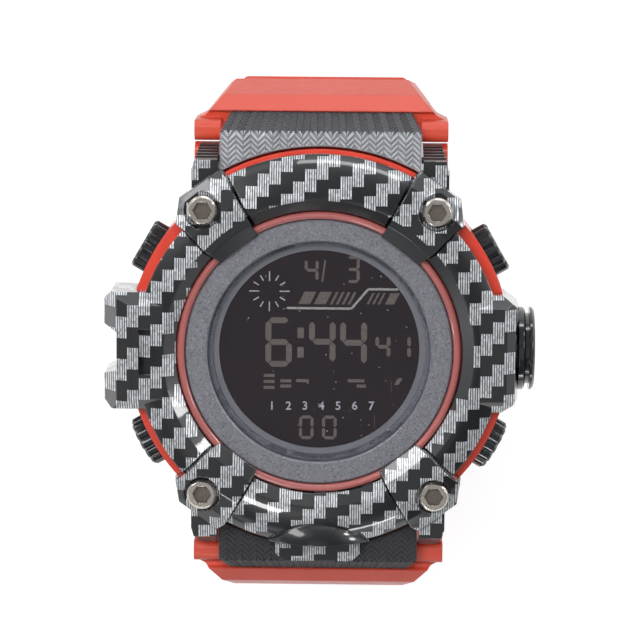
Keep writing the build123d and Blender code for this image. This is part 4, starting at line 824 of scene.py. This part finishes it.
class WATCH_OT_dial_marks(bpy.types.Operator):
    """Add the numbers, the rule and the ticks printed on the dial"""
    bl_idname = "watch.dial_marks"
    bl_label = "Dial marks"

    def execute(self, context):
        ink = printed_ink("Dial ink", linear("#cdc8d0"), linear("#aaa5ae"))
        pale = printed_ink("Pale dial ink", linear("#b9b3ac"), linear("#98928c"))
        numbers = bmesh.new()
        for k in range(NUMBERS):
            x, y = (start + step * k for start, step in zip(NUMBER_START, NUMBER_STEP))
            flat = written(str(k + 1), x * MM, y * MM, NUMBER_SIZE * MM, NUMBER_BOLDER * MM)
            numbers.from_mesh(flat)
            bpy.data.meshes.remove(flat)
        piece("dial_numbers", numbers, ink, "head")
        rule = bmesh.new()
        for (x0, y0), (x1, y1) in zip(RULE_CORNERS, RULE_CORNERS[1:]):
            long = hypot(x1 - x0, y1 - y0) + RULE_THICK * RULE_LAP
            whole = bar(rule, (0, 0, 0), long * MM, RULE_THICK * MM, MARK_HEIGHT, True)
            angle = atan2(y1 - y0, x1 - x0)
            bmesh.ops.rotate(rule, verts=whole, matrix=Matrix.Rotation(angle, 3, "Z"))
            bmesh.ops.translate(rule, verts=whole, vec=(
                (x0 + x1) / 2 * MM, (y0 + y1) / 2 * MM, MARK_FLOOR))
        piece("dial_rule", rule, pale, "head")
        ticks = bmesh.new()
        for k in range(TICKS):
            long = (SHORT_TICK if k % 3 else LONG_TICK) * MM
            tick = bar(ticks, (TICKS_RADIUS * MM, 0, 0), long, TICK_WIDTH * MM, MARK_HEIGHT, False)
            turn = Matrix.Rotation(k * 2 * pi / TICKS, 3, "Z")
            bmesh.ops.rotate(ticks, verts=tick, matrix=turn)
            bmesh.ops.translate(ticks, verts=tick, vec=(
                TICKS_MIDDLE[0] * MM, TICKS_MIDDLE[1] * MM, MARK_FLOOR))
        piece("dial_ticks", ticks, ink, "head")
        return {"FINISHED"}


# Finishes of the frame's own parts

class WATCH_OT_guards(bpy.types.Operator):
    """Finish the bezel guard, the corner clamps and their screws"""
    bl_idname = "watch.guards"
    bl_label = "Guards and clamps"

    def execute(self, context):
        film = film_printed_abs(context.scene.watch_sizes, context.scene.watch_colours)
        dress(["bezel_guard", *every("corner_clamp")], film)
        dress(["bezel_screws"], screw_steel())
        return {"FINISHED"}


class WATCH_OT_case(bpy.types.Operator):
    """Finish the case, its back, the rings and the glass"""
    bl_idname = "watch.case"
    bl_label = "Case and glass"

    def execute(self, context):
        colours = context.scene.watch_colours
        dress(["case_body"], moulded_resin("Moulded case plastic", colours.case, 0.28, 0.5))
        dress(["accent_ring"], painted_trim())
        dress(["crystal_ring"], speckled_ring())
        dress(["crystal"], mineral_glass())
        dress(["case_back", "case_back_screws"],
              turned_steel("Brushed case steel", "#c2c2c4", "#96969a", 0.3, (0.12, 3.0, 1.0)))
        # The second colour is painted light on the faces that look up
        dress(["case_back_gasket", "button_seals"],
              moulded_rubber("Seal rubber", linear("#1c1c1d"), linear("#262627"), 0.5))
        return {"FINISHED"}


class WATCH_OT_buttons(bpy.types.Operator):
    """Finish the pushers, the round button, their clips and the spring bars"""
    bl_idname = "watch.buttons"
    bl_label = "Buttons"

    def execute(self, context):
        dress([*every("pusher_cap"), "light_button", "light_button_collar",
               "light_button_stem"], gloss_abs())
        steel = turned_steel("Drawn steel", "#bdbdbf", "#8c8c90", 0.26, (1.0, 1.0, 1.0))
        dress([*every("pusher_stem"), *every("pusher_clip"), "light_button_clip",
               "spring_bar_12", "spring_bar_6"], steel)
        return {"FINISHED"}


SPRING_TURNS = 6
STEPS_IN_TURN = 20
WIRE_SIDES = 8
PUSHER_WIRE = 0.17 * MM
LIGHT_WIRE = 0.24 * MM


def coil(name, joint, wire, material):
    """A coil in the place of a return spring."""
    found = next(j for j in frame["joints"] if j["name"] == joint)
    out = -Vector(found["axis"]).normalized()
    low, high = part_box(name)
    height = (low.z + high.z) / 2
    places = [v.co.dot(out) for v in frame["nodes"][name].data.vertices]
    near, far = min(places), max(places)
    steps = SPRING_TURNS * STEPS_IN_TURN
    shape = bmesh.new()
    ring = bmesh.ops.create_circle(shape, segments=WIRE_SIDES, radius=wire)["verts"]
    bmesh.ops.rotate(shape, verts=ring, matrix=Matrix.Rotation(pi / 2, 3, "X"))
    bmesh.ops.translate(
        shape, verts=ring, vec=((high.z - low.z) / 2 - wire, 0, near + wire))
    bmesh.ops.spin(
        shape, geom=shape.verts[:] + shape.edges[:], cent=(0, 0, 0), axis=(0, 0, 1),
        dvec=(0, 0, (far - near - 2 * wire) / steps), angle=2 * pi * SPRING_TURNS, steps=steps)
    ends = [e for e in shape.edges if e.is_boundary]
    bmesh.ops.holes_fill(shape, edges=ends, sides=0)
    bmesh.ops.rotate(shape, verts=shape.verts, matrix=out.to_track_quat("Z", "Y").to_matrix())
    bmesh.ops.translate(shape, verts=shape.verts, vec=(0, 0, height))
    made = piece(name.replace("spring", "coil"), shape, material, "head")
    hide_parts(name)
    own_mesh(made)


class WATCH_OT_springs(bpy.types.Operator):
    """Add the return springs of the pushers and of the round button"""
    bl_idname = "watch.springs"
    bl_label = "Return springs"

    def execute(self, context):
        steel = turned_steel("Spring wire", "#bdbdbf", "#8c8c90", 0.26, (1.0, 1.0, 1.0))
        for corner in ("upper_right", "upper_left", "lower_left", "lower_right"):
            coil(f"pusher_spring_{corner}", f"pusher_{corner}_press", PUSHER_WIRE, steel)
        coil("light_button_spring", "light_button_press", LIGHT_WIRE, steel)
        return {"FINISHED"}


class WATCH_OT_module(bpy.types.Operator):
    """Finish the parts of the module inside the case"""
    bl_idname = "watch.module"
    bl_label = "Module"

    def execute(self, context):
        dress(["module_frame_upper", "module_frame_lower", "backlight"], moulded_acetal())
        dress(["zebra_strips"], layered_silicone())
        dress(["circuit_board"], circuit_laminate())
        # The second colour is painted light on the faces that look up
        dress(["chip"], moulded_rubber("Epoxy cap", linear("#202022"), linear("#2b2b2d"), 0.42))
        steel = turned_steel("Plated steel", "#c8c7c4", "#a19f9a", 0.24, (0.4, 2.0, 1.0))
        dress(["quartz_can", "battery", "battery_clip", "buzzer_spring"], steel)
        dress(["button_contacts"], rolled_brass())
        dress(["buzzer_disc"], sounder_faces())
        return {"FINISHED"}


class WATCH_OT_straps(bpy.types.Operator):
    """Finish the strap halves, the loop and the buckle"""
    bl_idname = "watch.straps"
    bl_label = "Straps and buckle"

    def execute(self, context):
        colours = context.scene.watch_colours
        resin = moulded_resin("Moulded strap resin", colours.strap, 0.4, 0.12)
        dress(["strap_12", "strap_6", "keeper"], resin)
        steel = turned_steel("Brushed buckle steel", "#bfbfc1", "#94949a", 0.28, (0.1, 3.0, 3.0))
        dress(["buckle_frame", "buckle_pin", "buckle_tongue"], steel)
        return {"FINISHED"}


# Stage: the paper's half width and its drop below the feet, the point that the lights
# face, and the lights with their place and size in metres and their power in watts

PAPER_HALF = 1.5
PAPER_DROP = 0.00002
LIT_POINT = (0, 0, 0.06)
KEY = ("key", (-0.08, 0.2, 0.65), (0.4, 0.32), 4.1)
OVERHEAD = ("overhead", (0.0, -0.13, 0.95), (0.5, 0.5), 0.2)
GLINTS = (
    ("back_wide", (0.1, 0.58, 0.22), (0.4, 0.08), 0.7),
    ("back_left", (-0.38, 0.36, 0.375), (0.18, 0.42), 1.5),
    ("back_right", (0.51, 0.34, 0.25), (0.08, 0.16), 0.8),
    ("side_left", (-0.52, -0.2, 0.28), (0.05, 0.16), 0.45),
    ("side_right", (0.55, 0.1, 0.28), (0.12, 0.12), 0.7),
    ("front_low", (0.12, -0.6, 0.24), (0.2, 0.04), 0.3),
    ("front_high", (-0.14, -0.38, 0.6), (0.14, 0.1), 0.8))

# Camera: the point that it looks at and its distance in millimetres, the pixels per
# millimetre of a frame 640 pixels wide, and its leans and roll in degrees
CAMERA_AIM = (0.12, 4.35, 70.0)
CAMERA_DISTANCE = 400.0
PIXELS_PER_MM = 7.65
FRAME_PIXELS = 640
SENSOR = 36.0
LEAN_RIGHT = 0.8
LEAN_UP = 9.0
ROLL = 0.45


def soft_light(name, place, size, power):
    """A rectangular softbox that faces the watch."""
    data = bpy.data.lights.new(name, "AREA")
    data.shape = "RECTANGLE"
    data.size, data.size_y = size
    data.energy = power
    lamp = bpy.data.objects.new(name, data)
    lamp.location = place
    facing = Vector(LIT_POINT) - Vector(place)
    lamp.rotation_euler = facing.to_track_quat("-Z", "Y").to_euler()
    bpy.context.scene.collection.objects.link(lamp)
    return lamp


def studio_paper_sheet(scene):
    """A white sheet under the watch."""
    sheet = bmesh.new()
    bmesh.ops.create_grid(sheet, x_segments=1, y_segments=1, size=PAPER_HALF)
    bmesh.ops.translate(sheet, verts=sheet.verts, vec=(0, 0, -PAPER_DROP))
    data = bpy.data.meshes.new("paper")
    sheet.to_mesh(data)
    sheet.free()
    data.materials.append(studio_paper())
    paper = bpy.data.objects.new("paper", data)
    scene.collection.objects.link(paper)


def studio_room(scene):
    """A grey room, lighter towards 12 o'clock, with a bright band above the horizon."""
    world = bpy.data.worlds.new("studio")
    world.use_nodes = True
    tree = world.node_tree
    tree.nodes.clear()
    way = add(tree, "ShaderNodeTexCoord")
    parts = add(tree, "ShaderNodeSeparateXYZ", {0: way.outputs["Generated"]})
    level = add(tree, "ShaderNodeMapRange", {
        0: parts.outputs[1], 1: -0.5, 2: 0.7, 3: 0.08, 4: 0.3})
    low = add(tree, "ShaderNodeMapRange", {0: parts.outputs[2], 1: 0.04, 2: 0.1, 3: 0.0, 4: 1.0})
    high = add(tree, "ShaderNodeMapRange", {0: parts.outputs[2], 1: 0.2, 2: 0.32, 3: 0.8, 4: 0.0})
    band = add(tree, "ShaderNodeMath", {0: low, 1: high}, operation="MULTIPLY")
    whole = add(tree, "ShaderNodeMath", {0: level, 1: band}, operation="ADD")
    sky = add(tree, "ShaderNodeBackground", {"Color": opaque("#eef2f8"), "Strength": whole})
    add(tree, "ShaderNodeOutputWorld", {"Surface": sky})
    scene.world = world
    scene.view_settings.view_transform = "Standard"


def studio_camera(scene):
    """The camera in the photograph's place: nearly overhead, leaning to 12 o'clock."""
    view = bpy.data.cameras.new("camera")
    view.sensor_width = SENSOR
    view.lens = SENSOR * PIXELS_PER_MM * CAMERA_DISTANCE / FRAME_PIXELS
    view.clip_start = 0.01
    view.clip_end = 10.0
    camera = bpy.data.objects.new("camera", view)
    towards = Vector((tan(radians(LEAN_RIGHT)), tan(radians(LEAN_UP)), 1)).normalized()
    right = (-towards).cross(Vector((0, 1, 0))).normalized()
    up = right.cross(-towards)
    roll = radians(ROLL)
    side = right * cos(roll) + up * sin(roll)
    top = -right * sin(roll) + up * cos(roll)
    turn = Matrix((side, top, towards)).transposed()
    place = (Vector(CAMERA_AIM) + towards * CAMERA_DISTANCE) * MM
    camera.matrix_world = Matrix.Translation(place) @ turn.to_4x4()
    scene.collection.objects.link(camera)
    scene.camera = camera


class WATCH_OT_stage(bpy.types.Operator):
    """Add the paper, the soft lights and the camera"""
    bl_idname = "watch.stage"
    bl_label = "Stage"

    def execute(self, context):
        studio_paper_sheet(context.scene)
        studio_room(context.scene)
        soft_light(*KEY).visible_glossy = False
        soft_light(*OVERHEAD)
        for glint in GLINTS:
            soft_light(*glint).visible_diffuse = False
        studio_camera(context.scene)
        return {"FINISHED"}


class WATCH_PT_panel(bpy.types.Panel):
    """The steps that dress the watch"""
    bl_idname = "WATCH_PT_panel"
    bl_label = "Watch"
    bl_space_type = "VIEW_3D"
    bl_region_type = "UI"
    bl_category = "Watch"

    def draw(self, context):
        for group in (context.scene.watch_sizes, context.scene.watch_colours):
            for name in group.__annotations__:
                self.layout.prop(group, name)
        for step in STEPS:
            self.layout.operator(step.bl_idname)


STEPS = (
    WATCH_OT_stage,
    WATCH_OT_guards,
    WATCH_OT_case,
    WATCH_OT_buttons,
    WATCH_OT_springs,
    WATCH_OT_module,
    WATCH_OT_straps,
    WATCH_OT_insert_ribs,
    WATCH_OT_display,
    WATCH_OT_dial_marks,
)
CLASSES = (WatchSizes, WatchColours, *STEPS, WATCH_PT_panel)


def register():
    for item in CLASSES:
        bpy.utils.register_class(item)
    bpy.types.Scene.watch_sizes = bpy.props.PointerProperty(type=WatchSizes)
    bpy.types.Scene.watch_colours = bpy.props.PointerProperty(type=WatchColours)


def unregister():
    del bpy.types.Scene.watch_sizes
    del bpy.types.Scene.watch_colours
    for item in reversed(CLASSES):
        bpy.utils.unregister_class(item)


def main():
    register()
    for step in STEPS:
        group, name = step.bl_idname.split(".")
        if getattr(getattr(bpy.ops, group), name)() != {"FINISHED"}:
            raise RuntimeError(f"{step.bl_label} didn't finish")


if __name__ == "__main__":
    main()
